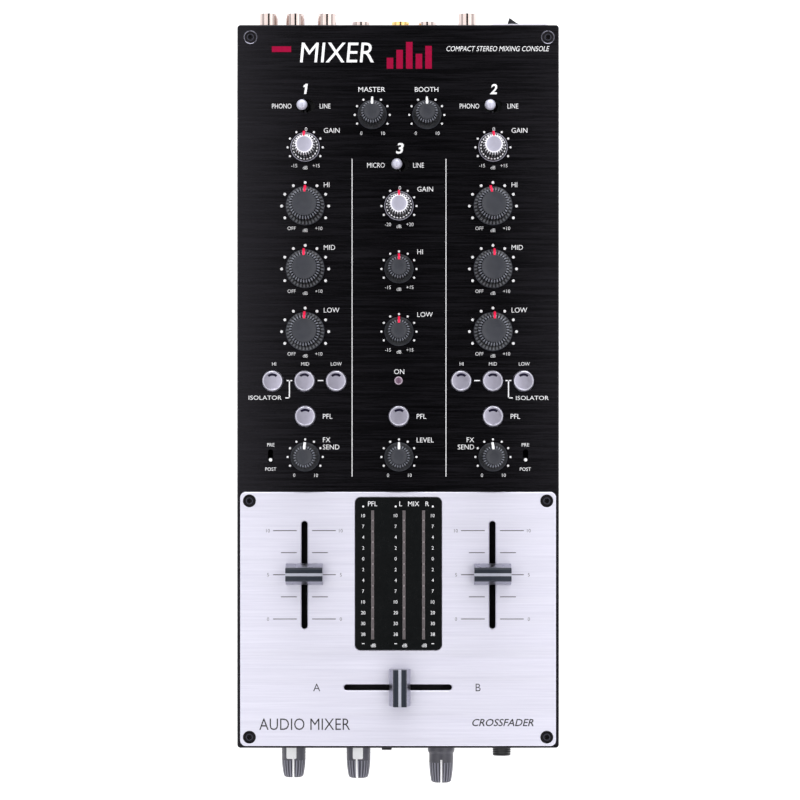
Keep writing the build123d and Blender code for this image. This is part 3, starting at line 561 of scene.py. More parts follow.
def silver_knob_paint(count):
    """Painted highlights on the top edge, rib ends and shelf dots, with painted shade in the gaps, a
    painted reflection of the dark panel on the flare, and a dimmer painted reflection on the grip's ribs
    and between the top edge's scallops.
    """
    dish_r = 3.4

    def paint(middle):
        from_axis = hypot(middle.x, middle.y)
        if middle.z < RIM_TOP or from_axis < dish_r:
            return None
        if middle.z > SHOULDER_HIGH:
            # Painted highlight on the top edge and its scallops, with a dimmer painted reflection between
            # them.
            return SILVER_HIGHLIGHT if from_axis < dish_r + 0.5 or on_crest(middle, count, 0.3) else SILVER_DARK_REFLECTION
        # Painted shade in the gaps between the ribs.
        if not on_crest(middle, count, 0.3 if middle.z > 13.0 else -0.15):
            return KNOB_PAINTED_SHADE
        # Grip ribs darkened as a painted reflection of the dark panel.
        if FLARE_TOP < middle.z < SHOULDER_LOW:
            return SILVER_DARK_REFLECTION
        # Painted highlights on the shoulder's rib ends and the shelf dots; the rest of the flare is
        # darkened as a painted reflection of the dark panel.
        return SILVER_HIGHLIGHT if middle.z > SHOULDER_LOW or 1.85 < middle.z < 2.0 else KNOB_PAINTED_SHADE

    return paint


# Flare of a skirt: how far out it still is, as a part of its width, at each height. The
# silver knobs have a level shelf in it.
SMOOTH_FLARE = ((0.78, 1.35), (0.45, 1.9), (0.2, 2.6), (0.06, 3.3))
SHELF_FLARE = ((0.78, 1.35), (0.42, 1.8), (0.12, 2.03), (0.04, 3.0))


def knob_profile(skirt_r, grip_r, top_r, flare):
    """Thin rim, flared skirt, upright grip, sloping shoulder and a dished top."""
    shoulder_r = grip_r - 0.28
    steps = 6
    top_edge_r = top_r + 0.45
    profile = [(0, 0), (skirt_r - 0.2, 0), (skirt_r, 0.15), (skirt_r, 0.85), (skirt_r - 0.15, 1.1)]
    profile += [(grip_r + (skirt_r - grip_r) * part, z) for part, z in flare]
    profile += [(grip_r - 0.025 * (z - 4.0), z) for z in (4.0, 5.5, 8.0, 10.5, 11.7)]
    for i in range(steps + 1):
        profile.append((shoulder_r + (top_edge_r - shoulder_r) * i / steps, 12.0 + 2.35 * i / steps))
    profile += [(top_r + 0.2, 14.7), (top_r, 14.9), (top_r - 0.25, 14.97), (top_r - 0.5, 14.88)]
    return profile + [(top_r * 0.5, 14.78), (0, 14.74)]


def pointer_fin(skirt_r, top_r):
    """Side outline of the pointer: a step on the top's edge that falls to the skirt's rim."""
    step = KNOB_HEIGHT + 0.13
    side = [(top_r - 0.2, 1.0), (skirt_r, 1.0), (skirt_r, KNOB_HEIGHT * 0.5)]
    return side + [(skirt_r - 0.4, KNOB_HEIGHT * 0.66), (top_r + 0.6, step), (top_r - 0.2, step)]


def shaft(deep):
    """Steel shaft that reaches so deep below the foot of its knob."""
    return turned([(0, -deep), (2.7, -deep), (3.0, 0.3 - deep), (3.0, 0.4), (0, 0.4)], 32)


def make_knob(node, turn, big, look, pointer):
    """Ribbed cap with its pointer turned so many degrees to the left, on a steel shaft."""
    silver = look is KNOB_SILVER
    ribs = BIG_RIBS if big else SMALL_RIBS
    skirt_r, grip_r, top_r = (8.9, 7.3, 5.45) if big else (6.65, 5.2, 3.9 if silver else 3.5)
    x, y, _ = PIVOT[node]
    place = shift(x, y, PANEL_TOP + KNOB_GAP) @ spin(turn + 90)
    grooves = fluted(ribs, depth=1.0 if big else 0.8, foot=2.4, top=14.9)
    piece = Piece(node + "_cap")
    paint = silver_knob_paint(ribs) if silver else dark_knob_paint(ribs, big)
    profile = knob_profile(skirt_r, grip_r, top_r, SHELF_FLARE if silver else SMOOTH_FLARE)
    piece.add(turned(profile, ribs * 8, grooves), look, place, paint)
    fin = prism(pointer_fin(skirt_r, top_r), -0.5, 0.5, 0.14)
    piece.add(fin, pointer, place @ spin(90, "X"))
    piece.add(shaft(16.8), SHAFT_STEEL, place)
    piece.finish("silver_knob" if silver else "dark_knob", [node], node)


TONES = ("hi", "mid", "low")
LEVELS = ("channel_3_level", "channel_1_fx_send", "channel_2_fx_send", "master_level", "booth_level")
# How far the pointers are turned to the left at rest, in degrees.
TONE_TURNS = {"channel_1": (-1, 3, 1), "channel_2": (9, -3, -4)}
GAIN_TURNS = {"channel_1": 3, "channel_2": 0, "channel_3": 0}
LEVEL_TURNS = (0, 0, 4, 0, 0)
# Front knobs: radii of the flange and the grip, then how far the pointer and the white
# flag are turned to the left in degrees. The last one has no flag.
FRONT_KNOBS = [
    ("cue_level_knob", 5.55, 5.5, 0.0, 10.3),
    ("cue_mix_knob", 5.55, 5.5, 8.0, 2.7),
    ("mic_level_knob", 6.2, 5.6, 0.0, None),
]


def make_front_knob(node, flange_r, grip_r, turn, flag_turn):
    """Slim knob on the front: plain barrel, ribbed tapering grip and a long pointer."""
    x, _, z = PIVOT[node]
    long = PANEL_LOW.y - span(node)[0].y - KNOB_GAP
    rib_from = long * 0.46
    tip_r = grip_r * 0.85
    steps = 7
    place = shift(x, PANEL_LOW.y - KNOB_GAP, z) @ OUT_OF_FRONT

    def groove(angle, radius, height):
        ramp = min(1.0, max(0.0, (height - rib_from) / 0.4))
        return 0.5 * ramp * max(0.0, cos(angle * FRONT_RIBS)) ** 0.7

    # Lighter rib crests on the grip are a painted highlight.
    def paint(middle):
        on_rib = rib_from + 0.3 < middle.z < long - 0.6 and on_crest(middle, FRONT_RIBS)
        return FRONT_RIB_HIGHLIGHT if on_rib else None

    curve = []
    for i in range(steps + 1):
        part = i / steps
        height = rib_from + 0.3 + (long - rib_from - 1.4) * part
        curve.append((grip_r - 0.05 - (grip_r - tip_r) * part**1.8, height))
    profile = [(0, 0), (flange_r - 0.2, 0), (flange_r, 0.2), (flange_r, 0.9), (flange_r, 3.0)]
    profile += [(flange_r - 0.05, 3.3), (grip_r + 0.1, 4.1), (grip_r, 4.5), (grip_r, rib_from - 0.1)]
    profile += curve
    profile += [(tip_r - 0.25, long - 0.65), (tip_r - 0.7, long - 0.25), (tip_r - 1.4, long), (0, long)]
    piece = Piece(node + "_cap")
    piece.add(turned(profile, FRONT_RIBS * 8, groove), FRONT_SLATE, place, paint)
    stripe = [(grip_r - 1.6, rib_from - 1.2), (grip_r + 0.14, rib_from - 1.2)]
    stripe += [(r + 0.17, height) for r, height in curve]
    stripe += [(tip_r - 0.05, long - 0.5), (tip_r - 0.5, long - 0.1), (tip_r - 1.6, long)]
    upright = spin(90) @ spin(90, "X")
    piece.add(prism(stripe, -0.45, 0.45, 0.1), POINTER_WHITE, place @ spin(turn) @ upright)
    if flag_turn is not None:
        flag = bent_flag(grip_r + 0.06, 4.8, 0.6, long * 0.43)
        piece.add(flag, POINTER_WHITE, place @ spin(flag_turn))
    piece.add(shaft(7.0), SHAFT_STEEL, place)
    piece.finish("dark_knob", [node], node)


def border(grid):
    """The outer points of a grid of rows, in order round it."""
    right = [row[-1] for row in grid[1:]]
    left = [row[0] for row in grid[-2:0:-1]]
    return grid[0] + right + grid[-1][-2::-1] + left


def bent_flag(radius, wide, low, high):
    """Rounded white patch let into the barrel, facing up."""
    mesh = bmesh.new()
    columns = 12
    half = wide / 2 / radius
    rows = [low, low + 0.3, (low + high) / 2, high - 0.5, high - 0.15, high]
    shrink = [1.0, 1.0, 1.0, 1.0, 0.93, 0.78]
    layers = []
    for r in (radius - 0.25, radius + 0.06):
        grid = []
        for z, narrow in zip(rows, shrink):
            angles = [pi / 2 + half * narrow * (2 * i / columns - 1) for i in range(columns + 1)]
            grid.append([mesh.verts.new((r * cos(a), r * sin(a), z)) for a in angles])
        layers.append(grid)
    for grid in layers:
        for a, b in zip(grid, grid[1:]):
            for i in range(columns):
                mesh.faces.new((a[i], a[i + 1], b[i + 1], b[i]))
    under, over = (border(grid) for grid in layers)
    for i in range(len(under)):
        j = (i + 1) % len(under)
        mesh.faces.new((under[i], under[j], over[j], over[i]))
    bmesh.ops.recalc_face_normals(mesh, faces=mesh.faces)
    return solid_of(mesh)


def make_knobs():
    for channel, turns in TONE_TURNS.items():
        for tone, turn in zip(TONES, turns):
            make_knob(f"{channel}_{tone}_knob", turn, True, KNOB_SLATE, POINTER_RED)
    for channel, turn in GAIN_TURNS.items():
        make_knob(channel + "_gain_knob", turn, False, KNOB_SILVER, POINTER_RED)
    for tone in ("hi", "low"):
        make_knob(f"channel_3_{tone}_knob", 0, False, KNOB_SLATE, POINTER_RED)
    for level, turn in zip(LEVELS, LEVEL_TURNS):
        make_knob(level + "_knob", turn, False, KNOB_SLATE, POINTER_WHITE)
    for front_knob in FRONT_KNOBS:
        make_front_knob(*front_knob)


# ---- buttons, toggles and slides ----
def button_rim(middle):
    """Paint for the raised rim round a button's top."""
    return BUTTON_RIM if middle.z > PANEL_TOP + 1.9 and hypot(middle.x, middle.y) > 4.0 else None


def make_buttons():
    """Round caps with a fine raised rim and a curved dark lens near the far edge."""
    for node in sorted(n for n in frame["nodes"] if n.endswith("_button")):
        low, high = span(node)
        place = over(node)
        top = high.z
        # A thin stem, a collar that holds the cap in under the panel, then the cap.
        profile = [(0, low.z), (1.8, low.z), (1.8, 68.2), (5.6, 68.2), (5.6, 69.35), (4.55, 69.4)]
        profile += [(4.55, top - 0.45), (4.42, top - 0.15), (4.2, top), (3.95, top - 0.02)]
        profile += [(3.8, top - 0.16), (3.0, top - 0.22), (1.5, top - 0.26), (0, top - 0.27)]
        piece = Piece(node + "_cap")
        piece.add(turned(profile, 72), BUTTON_CAP, place, button_rim)
        lens = prism(arc_band(2.85, 1.1, 48, 132), top - 0.6, top - 0.1, 0.08)
        piece.add(lens, LENS_DARK, place)
        piece.finish("button_cap", [node], node)


def toggle_stem(middle):
    """Paint for the part of a lever below its ball."""
    return CHROME if middle.z < 7.7 else None


def make_toggles():
    """Chromed levers that end in a ball and turn on a cross pin."""
    for node in ("source_1_toggle", "source_2_toggle", "source_3_toggle"):
        place = shift(*PIVOT[node]) @ spin(-8.0, "Y")
        ball_r = 2.45
        arm = 10.0
        lever = [(0, -2.0), (1.0, -1.73), (1.73, -1.0), (2.0, 0), (1.8, 0.87), (1.52, 1.3)]
        lever += [(1.35, 4.0), (1.05, 7.6)]
        # The ball begins at this angle below its equator, where the lever's neck meets it.
        neck = -66
        steps = 14
        for i in range(steps + 1):
            angle = radians(neck + (90 - neck) * i / steps)
            lever.append((ball_r * cos(angle), arm + ball_r * sin(angle)))
        lever[-1] = (0, arm + ball_r)
        piece = Piece(node + "_lever")
        piece.add(turned(lever, 48), TOGGLE_SATIN, place, toggle_stem)
        piece.add(rod(0.8, -3.0, 3.0, 0.15, 24), DARK_STEEL, place @ spin(90, "X"))
        piece.finish("bright_plating", [node], node)


def make_send_slides():
    for node in ("send_point_1_slide", "send_point_2_slide"):
        low, high = span(node)
        place = over(node)
        piece = Piece(node + "_stem")
        piece.add(prism(rectangle(2.2, 2.6), low.z, low.z + 5.0, 0.2), MOULDING, place)
        stem = [(0, 64.0), (0.78, 64.0), (0.78, high.z - 0.5), (0.64, high.z - 0.15)]
        stem += [(0.36, high.z), (0, high.z)]
        piece.add(turned(stem, 28), POINTER_WHITE, place)
        piece.finish("white_stem", [node], node)


# ---- faders ----
def make_fader(node, wide, across=False):
    """Cap with hollow-ground silver skirts, two dark grip bars and a pale line between them."""
    deep = 9.7
    grip_deep = 6.2
    base = PLATE_TOP + 0.5
    tall = span(node)[1].z - base
    shoulder = 5.0
    place = over(node, base)
    if across:
        place = place @ spin(90)
    side = place @ SIDEWAYS
    slope = [(0.0, 0.9), (0.18, 1.7), (0.45, 2.8), (0.8, 4.1), (1.0, shoulder)]
    reach = deep / 2 - grip_deep / 2 - 0.15
    right = [(deep / 2 - reach * part, z) for part, z in slope]
    outline = [(-deep / 2, 0.0), (deep / 2, 0.0)] + right + [(-x, z) for x, z in reversed(right)]
    piece = Piece(node + "_cap")
    piece.add(prism(outline, -wide / 2, wide / 2, 0.2), FADER_SILVER, side)
    line_half = 0.68
    edge = grip_deep / 2
    bar = [(line_half, shoulder - 0.4), (edge, shoulder - 0.4), (edge, tall - 0.9), (edge - 0.7, tall)]
    bar += [(line_half + 0.25, tall - 0.15), (line_half, tall - 0.45)]
    half = wide / 2 - 0.1
    piece.add(prism(bar, -half, half, 0.1), FADER_SLATE, side)
    piece.add(prism([(-x, y) for x, y in reversed(bar)], -half, half, 0.1), FADER_SLATE, side)
    line = rectangle(2 * line_half, tall - shoulder, 0, (tall + shoulder) / 2 - 0.35)
    piece.add(prism(line, -half - 0.02, half + 0.02, 0.1), FADER_LINE, side)
    piece.add(prism(rectangle(1.0, 3.6), -12.9, 1.0, 0.15), SHAFT_STEEL, place)
    piece.add(prism(rectangle(5.2, 8.0), -13.0, -9.5, 0.3), MOULDING, place)
    piece.finish("fader_cap", [node], node)


def make_faders():
    make_fader("channel_1_fader", 17.0)
    make_fader("channel_2_fader", 17.0)
    make_fader("crossfader", 16.9, across=True)


# ---- screws, light and meter ----
PANEL_SCREWS = [(-67.4, 159.4), (68.4, 159.4)]
PLATE_SCREWS = [(x, y) for y in (-52.25, -160.0) for x in (-67.8, 67.8)]


def screw_solid(head_r):
    """Countersunk head with a rolled edge, a ring and a cross recess, on its threaded shank."""
    profile = [(0, -7.0), (1.2, -7.0)]
    for i in range(10):
        z = -6.6 + i * 0.5
        profile += [(1.2, z), (1.5, z + 0.25)]
    profile += [(1.5, -1.5), (head_r - 0.02, -0.28), (head_r, -0.2), (head_r - 0.12, -0.1)]
    profile += [(head_r - 0.5, 0.0), (head_r - 0.7, 0.0), (head_r - 0.85, -0.07)]
    profile += [(1.62, -0.08), (1.52, -0.02), (1.32, -0.02), (1.2, -0.1), (0, -0.12)]
    arms = []
    for angle in (40, 130):
        arm = prism(rectangle(2.2, 0.6), -1.3, 0.6, 0.0)
        arms.append(moved(arm, spin(angle)))
    return carved(turned(profile, 48), arms)


def screw_ring(middle):
    """Paint for the lighter ring round a screw's recess."""
    return SCREW_RING if 1.2 < hypot(middle.x, middle.y) < 1.62 and middle.z > -0.15 else None


def make_screws():
    """Screws, each stopped at its own angle, and the bare metal of the panel's countersinks."""
    piece = Piece("panel_screw_set")
    for places, top, head_r in ((PANEL_SCREWS, PANEL_TOP, 2.6), (PLATE_SCREWS, PLATE_TOP, 3.02)):
        solid = screw_solid(head_r)
        for x, y in places:
            place = shift(x, y + PANEL_Y, top) @ Matrix.Rotation(x + y, 4, "Z")
            piece.add(solid, SCREW_BLACK, place, screw_ring)
    piece.finish("black_screw", ["panel_screws"])
    edge = [(2.66, -0.23), (3.03, -0.02), (3.07, 0.01), (3.12, 0.01), (3.12, -0.4), (2.66, -0.4)]
    edge.append(edge[0])
    edges = Piece("countersink_edges")
    for x, y in PANEL_SCREWS:
        edges.add(turned(edge, 64), BARE_EDGE, shift(x, y + PANEL_Y, PANEL_TOP))
    edges.finish("bright_plate")


def make_power_light():
    low = span("power_led")[0].z
    place = over("power_led")
    profile = [(0, low), (2.4, low), (2.4, 70.0), (1.86, 70.0), (1.86, 71.8), (1.5, 72.2)]
    for i in range(2, 9):
        angle = radians(90 * i / 8)
        profile.append((1.6 * cos(angle), 72.1 + 0.6 * sin(angle)))
    profile[-1] = (0, 72.7)
    rim = [(1.4, 71.6), (1.87, 71.6), (1.87, 72.3), (1.76, 72.48), (1.58, 72.56), (1.4, 72.5), (1.4, 71.6)]
    piece = Piece("power_light_lens")
    piece.add(turned(profile, 48), LED_LENS, place)
    piece.add(turned(rim, 48), LED_RIM, place)
    piece.finish("led_lens", ["power_led"])


METER_BARS = (-11.6, 2.7, 11.6)
METER_PITCH = 4.97
METER_SEGMENTS = 12
METER_MIDDLE = -86.0


def make_meter_bars():
    """Rows of unlit segments, each pair parted by a paler light-guide end."""
    piece = Piece("meter_segments")
    low = METER_TOP - 0.75
    for x in METER_BARS:
        for i in range(METER_SEGMENTS):
            y = METER_MIDDLE + METER_PITCH * (i - (METER_SEGMENTS - 1) / 2) + PANEL_Y
            piece.add(prism(rectangle(1.34, 4.2, x, y), low, METER_TOP - 0.02, 0.1), SEGMENT)
            if i:
                end = rectangle(1.1, 0.7, x, y - METER_PITCH / 2)
                piece.add(prism(end, low, METER_TOP - 0.06, 0.08), SEGMENT_END)
    piece.finish("light_segment", ["meter_light_bars"])


# ---- connectors ----
PHONO_REACH = 8.3
STEREO_INPUTS = (-60.2, -47.8, -33.1)
STEREO_PAIR = ((47.0, INSULATOR_WHITE), (34.0, INSULATOR_RED))
PHONO_CORES = [(x, z, look) for x in STEREO_INPUTS for z, look in STEREO_PAIR]
PHONO_CORES += [(32.1, 47.0, MOULDING), (-17.6, 20.0, INSULATOR_WHITE)]
PHONO_CORES += [(13.7, 20.0, INSULATOR_RED), (1.1, 20.0, MOULDING)]


def make_phono_cores():
    """Moulded cores with a rounded mouth and an open hole for the plug's pin."""
    piece = Piece("phono_cores")
    end = PHONO_REACH - 0.8
    core = [(1.7, -12.0), (3.44, -12.0), (3.44, end - 0.3), (3.2, end)]
    core += [(2.3, end - 0.05), (1.95, end - 0.15), (1.7, end - 0.5), (1.7, -12.0)]
    for x, z, look in PHONO_CORES:
        piece.add(turned(core, 56), look, shift(x, PANEL_HIGH.y, z) @ OUT_OF_REAR)
    piece.finish("white_insulator", ["phono_insulators"])


def make_ground_post():
    """Earth terminal: plain post, washer and a knurled nut with a domed end."""
    low, high = span("ground_post")
    place = shift((low.x + high.x) / 2, low.y, (low.z + high.z) / 2) @ OUT_OF_REAR
    reach = high.y - low.y
    post = [(0, 0), (2.2, 0), (2.5, 0.3), (2.5, 5.5), (4.0, 5.5), (4.0, 7.9), (3.9, 8.0)]
    post += [(2.5, 8.0), (2.5, 9.0), (0, 9.0)]

    def knurl(angle, radius, height):
        return 0.28 * max(0.0, cos(angle * 30)) if 9.5 < height < reach - 3.2 and radius > 4.9 else 0.0

    nut_r = 5.08
    nut = [(0, 9.0), (4.8, 9.0), (nut_r, 9.3), (nut_r, 9.6), (nut_r, reach - 3.6), (nut_r, reach - 3.1)]
    for i in range(1, 10):
        angle = radians(10 * i)
        nut.append((nut_r * cos(angle) * 0.9 + 0.3 * (1 - i / 9), reach - 3.0 + 3.0 * sin(angle)))
    nut[-1] = (0, reach)
    piece = Piece("ground_terminal")
    piece.add(turned(post, 48), CHROME, place)
    piece.add(turned(nut, 240, knurl), CHROME, place)
    piece.finish("bright_plating", ["ground_post"])


def make_mains_module():
    """Pale face plate on a black body, both open to the inlet and to the rocker's well."""
    place = shift(PIVOT["power_rocker"][0], PANEL_HIGH.y, 36.5) @ OUT_OF_REAR
    inlet = [(-11.7, -17.2), (11.7, -17.2), (11.7, -5.34), (8.16, -1.8), (-8.16, -1.8), (-11.7, -5.34)]
    well = rectangle(14.2, 14.0, 0, 13.5)
    bearing = moved(cylinder(1.6, -8.3, 8.3), shift(0, 13.5, 0.4) @ spin(90, "X"))
    cutters = [prism(inlet, -13.6, 3.0, 0.0), prism(well, -8.1, 3.0, 0.0), bearing]
    body = Piece("mains_module_body")
    body.add(carved(prism(rectangle(25.2, 46.0), -19.0, -0.5, 0.3), cutters), MOULDING, place)
    body.finish("black_moulding", ["mains_module"])
    face = Piece("mains_module_face")
    plate = prism(rounded_rectangle(26.0, 50.0, 1.5), -0.5, 1.9, 0.3, 3)
    face.add(carved(plate, cutters), MODULE_GREY, place)
    face.finish("bright_plate")


def make_rocker():
    """Rocker with softly rounded faces on its two short trunnions."""
    low, high = span("power_rocker")
    x, y, _ = PIVOT["power_rocker"]
    tilt = 17.0
    rise = tan(radians(tilt))
    half = 5.9
    near = half * 0.55
    centre_out = 1.8
    pin_long = 1.3
    outline = [(-half, centre_out + half * rise), (-near, centre_out + near * rise - 0.12)]
    outline += [(0, centre_out)] + [(-side, out) for side, out in reversed(outline)]
    outline += [(half, -0.3), (3.5, -4.5), (-3.5, -4.5), (-half, -0.3)]
    place = shift(x, y, 0) @ spin(-tilt)
    piece = Piece("power_rocker_key")
    key = prism(outline[::-1], low.z + pin_long, high.z - pin_long, 0.45, 4)
    piece.add(key, ROCKER_BLACK, place)
    piece.add(rod(1.2, low.z, high.z, 0.1, 32), ROCKER_BLACK, place)
    piece.finish("black_moulding", ["power_rocker"], "power_rocker")


def make_headphone_jack():
    """Threaded nose on a square moulded body, with a deep bore through both."""
    low, high = span("headphone_jack")
    nose = PANEL_LOW.y - low.y
    inside = -2.0
    place = shift((low.x + high.x) / 2, PANEL_LOW.y, (low.z + high.z) / 2) @ OUT_OF_FRONT
    block = prism(rounded_rectangle(13.0, 14.0, 1.0), inside - 28.0, inside, 0.3)
    piece = Piece("headphone_socket_shell")
    piece.add(carved(block, [cylinder(3.25, nose - 33.0, inside + 1.0)]), MOULDING, place)
    profile = [(3.25, inside), (4.3, inside)]
    turns = 6
    pitch = (nose - 0.9) / turns
    for i in range(turns):
        profile += [(4.3, 0.1 + i * pitch), (4.08, 0.1 + (i + 0.5) * pitch)]
    profile += [(4.25, nose - 0.55), (4.0, nose - 0.08), (3.85, nose), (3.5, nose - 0.05)]
    profile += [(3.25, nose - 0.35), (3.25, inside)]
    piece.add(turned(profile, 64), MOULDING, place)
    piece.finish("black_moulding", ["headphone_jack"])


# ---- printing ----
INK_THICK = 0.04
LABEL_CAP = 2.35
SMALL_CAP = 1.65
# Height of a capital in the built-in font at size 1, and how narrow the labels are set.
FONT_CAP = 0.729
SQUEEZE = 0.97


def word_solid(words, cap, width=None, weight=-0.005, slant=0.0):
    """Letters as thin raised ink, cap high; their middle is at the origin."""
    curve = bpy.data.curves.new("word", "FONT")
    curve.body = words
    curve.offset = weight
    curve.shear = slant
    curve.resolution_u = 3
    curve.extrude = 0.5
    made = bpy.data.objects.new("word", curve)
    mesh = bpy.data.meshes.new_from_object(made)
    points = [v.co.copy() for v in mesh.vertices]
    faces = [tuple(p.vertices) for p in mesh.polygons]
    bpy.data.objects.remove(made)
    bpy.data.curves.remove(curve)
    bpy.data.meshes.remove(mesh)
    low = min(p.x for p in points)
    high = max(p.x for p in points)
    middle = (low + high) / 2
    rise = cap / FONT_CAP
    stretch = rise * SQUEEZE if width is None else width / (high - low)
    flat = [((p.x - middle) * stretch, (p.y - FONT_CAP / 2) * rise, p.z * INK_THICK) for p in points]
    return flat, faces


class Print(Piece):
    """Thin ink marks on one flat surface."""

    def __init__(self, name, look, top):
        super().__init__(name)
        self.look = look
        self.top = top

    def at(self, x, y):
        return shift(x, y + PANEL_Y, self.top + INK_THICK / 2 - 0.01)

    def words(self, text, x, y, cap=LABEL_CAP, align="middle", **style):
        solid = word_solid(text, cap, **style)
        if align != "middle":
            half = max(v[0] for v in solid[0])
            x += half if align == "left" else -half
        self.add(solid, self.look, self.at(x, y))

    def shape(self, outline, x, y):
        self.add(prism(outline, -INK_THICK / 2, INK_THICK / 2, 0.0), self.look, self.at(x, y))

    def bar(self, x0, x1, y0, y1):
        self.shape(rectangle(x1 - x0, y1 - y0), (x0 + x1) / 2, (y0 + y1) / 2)

    def dot(self, x, y, radius):
        turns = [2 * pi * i / 20 for i in range(20)]
        self.shape([(radius * cos(t), radius * sin(t)) for t in turns], x, y)


def print_dial(layer, node, big, low, high, unit=True, zero=False):
    """Dots round a knob every 30 degrees, and the scale's end marks below it."""
    x, y, _ = PIVOT[node]
    y -= PANEL_Y
    radius = 10.74 if big else 8.0
    for turn in range(-120, 121, 30):
        if zero and turn == 0:
            continue
        angle = radians(90 - turn)
        layer.dot(x + radius * cos(angle), y + radius * sin(angle), 0.65 if big else 0.5)
    side = 6.2 if big else 5.0
    down = 10.1 if big else 8.3
    layer.words(low, x - side, y - down, SMALL_CAP)
    layer.words(high, x + side, y - down, SMALL_CAP)
    if unit:
        layer.words("dB", x, y - down - 0.9, SMALL_CAP)
    if zero:
        layer.words("0", x + 0.4, y + 8.3, 1.9)


# A bold leaning numeral one: its stem, then the flag at its top.
NUMERAL_ONE = [(-0.72, -2.32), (0.32, -2.32), (1.02, 2.32), (0.15, 2.32)]
NUMERAL_ONE += [(-0.98, 1.4), (-0.85, 0.6), (-0.18, 1.0)]


def print_names(layer):
    """Channel numbers and the names of the controls."""
    heavy = {"weight": 0.022, "slant": 0.18}
    layer.shape(NUMERAL_ONE, -42.2, 135.8)
    layer.words("2", 43.6, 135.8, 4.65, width=3.3, **heavy)
    layer.words("3", 0.8, 108.8, 4.8, width=3.6, **heavy)
    layer.words("MASTER", -12.0, 135.6, width=12.2)
    layer.words("BOOTH", 13.0, 135.6, width=10.7)
    for column in (-42.4, 43.3):
        layer.words("PHONO", column - 10.7, 128.0, width=8.9)
        layer.words("LINE", column + 9.1, 128.0, width=4.9)
        for name, y in (("GAIN", 116.9), ("HI", 92.1), ("MID", 63.5), ("LOW", 34.9)):
            layer.words(name, column + 8.5, y, align="left")
    layer.words("MICRO", -10.1, 101.0, width=8.0)
    layer.words("LINE", 9.35, 101.0, width=4.9)
    for name, y in (("GAIN", 90.1), ("HI", 61.5), ("LOW", 32.9)):
        layer.words(name, 8.75, y, align="left")
    layer.words("ON", 0.5, 6.8)
    for x in (-34.3, 8.5, 51.4):
        layer.words("PFL", x, -13.6, align="left")
    for x, align in ((-34.3, "left"), (34.7, "right")):
        layer.words("FX", x, -24.3, align=align)
        layer.words("SEND", x, -27.6, align=align)
    layer.words("LEVEL", 8.5, -24.4, align="left")
    for x in (-58.1, 58.1):
        layer.words("PRE", x, -26.6, SMALL_CAP)
        layer.words("POST", x, -37.7, SMALL_CAP)
    for xs in ((-56.6, -42.4, -28.2), (29.0, 43.3, 57.6)):
        for label, x in zip(("HI", "MID", "LOW"), xs):
            layer.words(label, x, 10.3, SMALL_CAP)
    layer.words("ISOLATOR", -60.7, -5.1, 2.0, width=15.0)
    layer.words("ISOLATOR", 61.25, -5.2, 2.0, width=14.9)


def print_rules(layer):
    """Brackets that join the isolator buttons, and the two long lines between channels."""
    for left, right in ((-50.9, -48.3), (-36.7, -34.1), (34.7, 37.4), (49.0, 51.7)):
        layer.bar(left, right, 2.4, 2.9)
    for left, foot_from, foot_to in ((-49.85, -51.4, -49.35), (50.15, 50.15, 52.3)):
        layer.bar(left, left + 0.5, -5.5, 2.9)
        layer.bar(foot_from, foot_to, -5.5, -5.0)
    for left in (-21.16, 21.7):
        layer.bar(left, left + 0.32, -41.2, 103.9)


def print_dials(layer):
    for channel in ("channel_1", "channel_2"):
        for tone in TONES:
            print_dial(layer, f"{channel}_{tone}_knob", True, "OFF", "+10")
        print_dial(layer, f"{channel}_gain_knob", False, "-15", "+15", zero=True)
        print_dial(layer, f"{channel}_fx_send_knob", False, "0", "10", unit=False)
    print_dial(layer, "channel_3_gain_knob", False, "-20", "+20", zero=True)
    for control in ("channel_3_hi", "channel_3_low"):
        print_dial(layer, control + "_knob", False, "-15", "+15")
    for control in ("channel_3_level", "master_level", "booth_level"):
        print_dial(layer, control + "_knob", False, "0", "10", unit=False)


def print_panel():
    """White marks of the black panel."""
    layer = Print("panel_print", INK_WHITE, PANEL_TOP)
    print_names(layer)
    print_rules(layer)
    print_dials(layer)
    layer.words("MIXER", -27.9, 152.7, 9.6, width=33.7, weight=0.0, slant=0.1)
    layer.words("COMPACT STEREO MIXING CONSOLE", 45.6, 154.2, 2.45, width=47.0, slant=0.25)
    layer.finish("black_panel")


def print_title_bars():
    """Plain crimson level bars beside the title."""
    layer = Print("title_bars", INK_CRIMSON, PANEL_TOP)
    layer.bar(-57.6, -48.8, 152.6, 155.2)
    for i, tall in enumerate((5.0, 8.6, 12.2, 6.8, 10.4)):
        x = -5.2 + i * 4.4
        layer.bar(x, x + 3.0, 145.0, 145.0 + tall)
    layer.finish("black_panel")


def print_plate():
    """Fader scales, letters and the two generic marks of the bright plate."""
    scale = Print("fader_scales", INK_GREY, PLATE_TOP)
    for node in ("channel_1_fader", "channel_2_fader"):
        low, high = span(node)
        x = (low.x + high.x) / 2
        for step, y in enumerate((-65.8, -75.85, -85.9, -96.0, -106.1)):
            far = 14.3 if step % 2 == 0 else 10.7
            for side in (-1, 1):
                near_x, far_x = sorted((x + side * 3.5, x + side * far))
                scale.bar(near_x, far_x, y - 0.2, y + 0.2)
                if step % 2 == 0:
                    scale.words(str(10 - step // 2 * 5), x + side * 16.6, y, SMALL_CAP)
    scale.finish("bright_plate")
    marks = Print("plate_print", INK_DARK, PLATE_TOP)
    marks.words("A", -37.1, -137.2, 3.7)
    marks.words("B", 36.5, -137.2, 3.7)
    marks.words("AUDIO MIXER", -42.6, -153.9, 5.6, width=41.4)
    marks.words("CROSSFADER", 47.8, -153.2, 3.4, width=28.0, weight=0.01, slant=0.25)
    marks.finish("bright_plate")


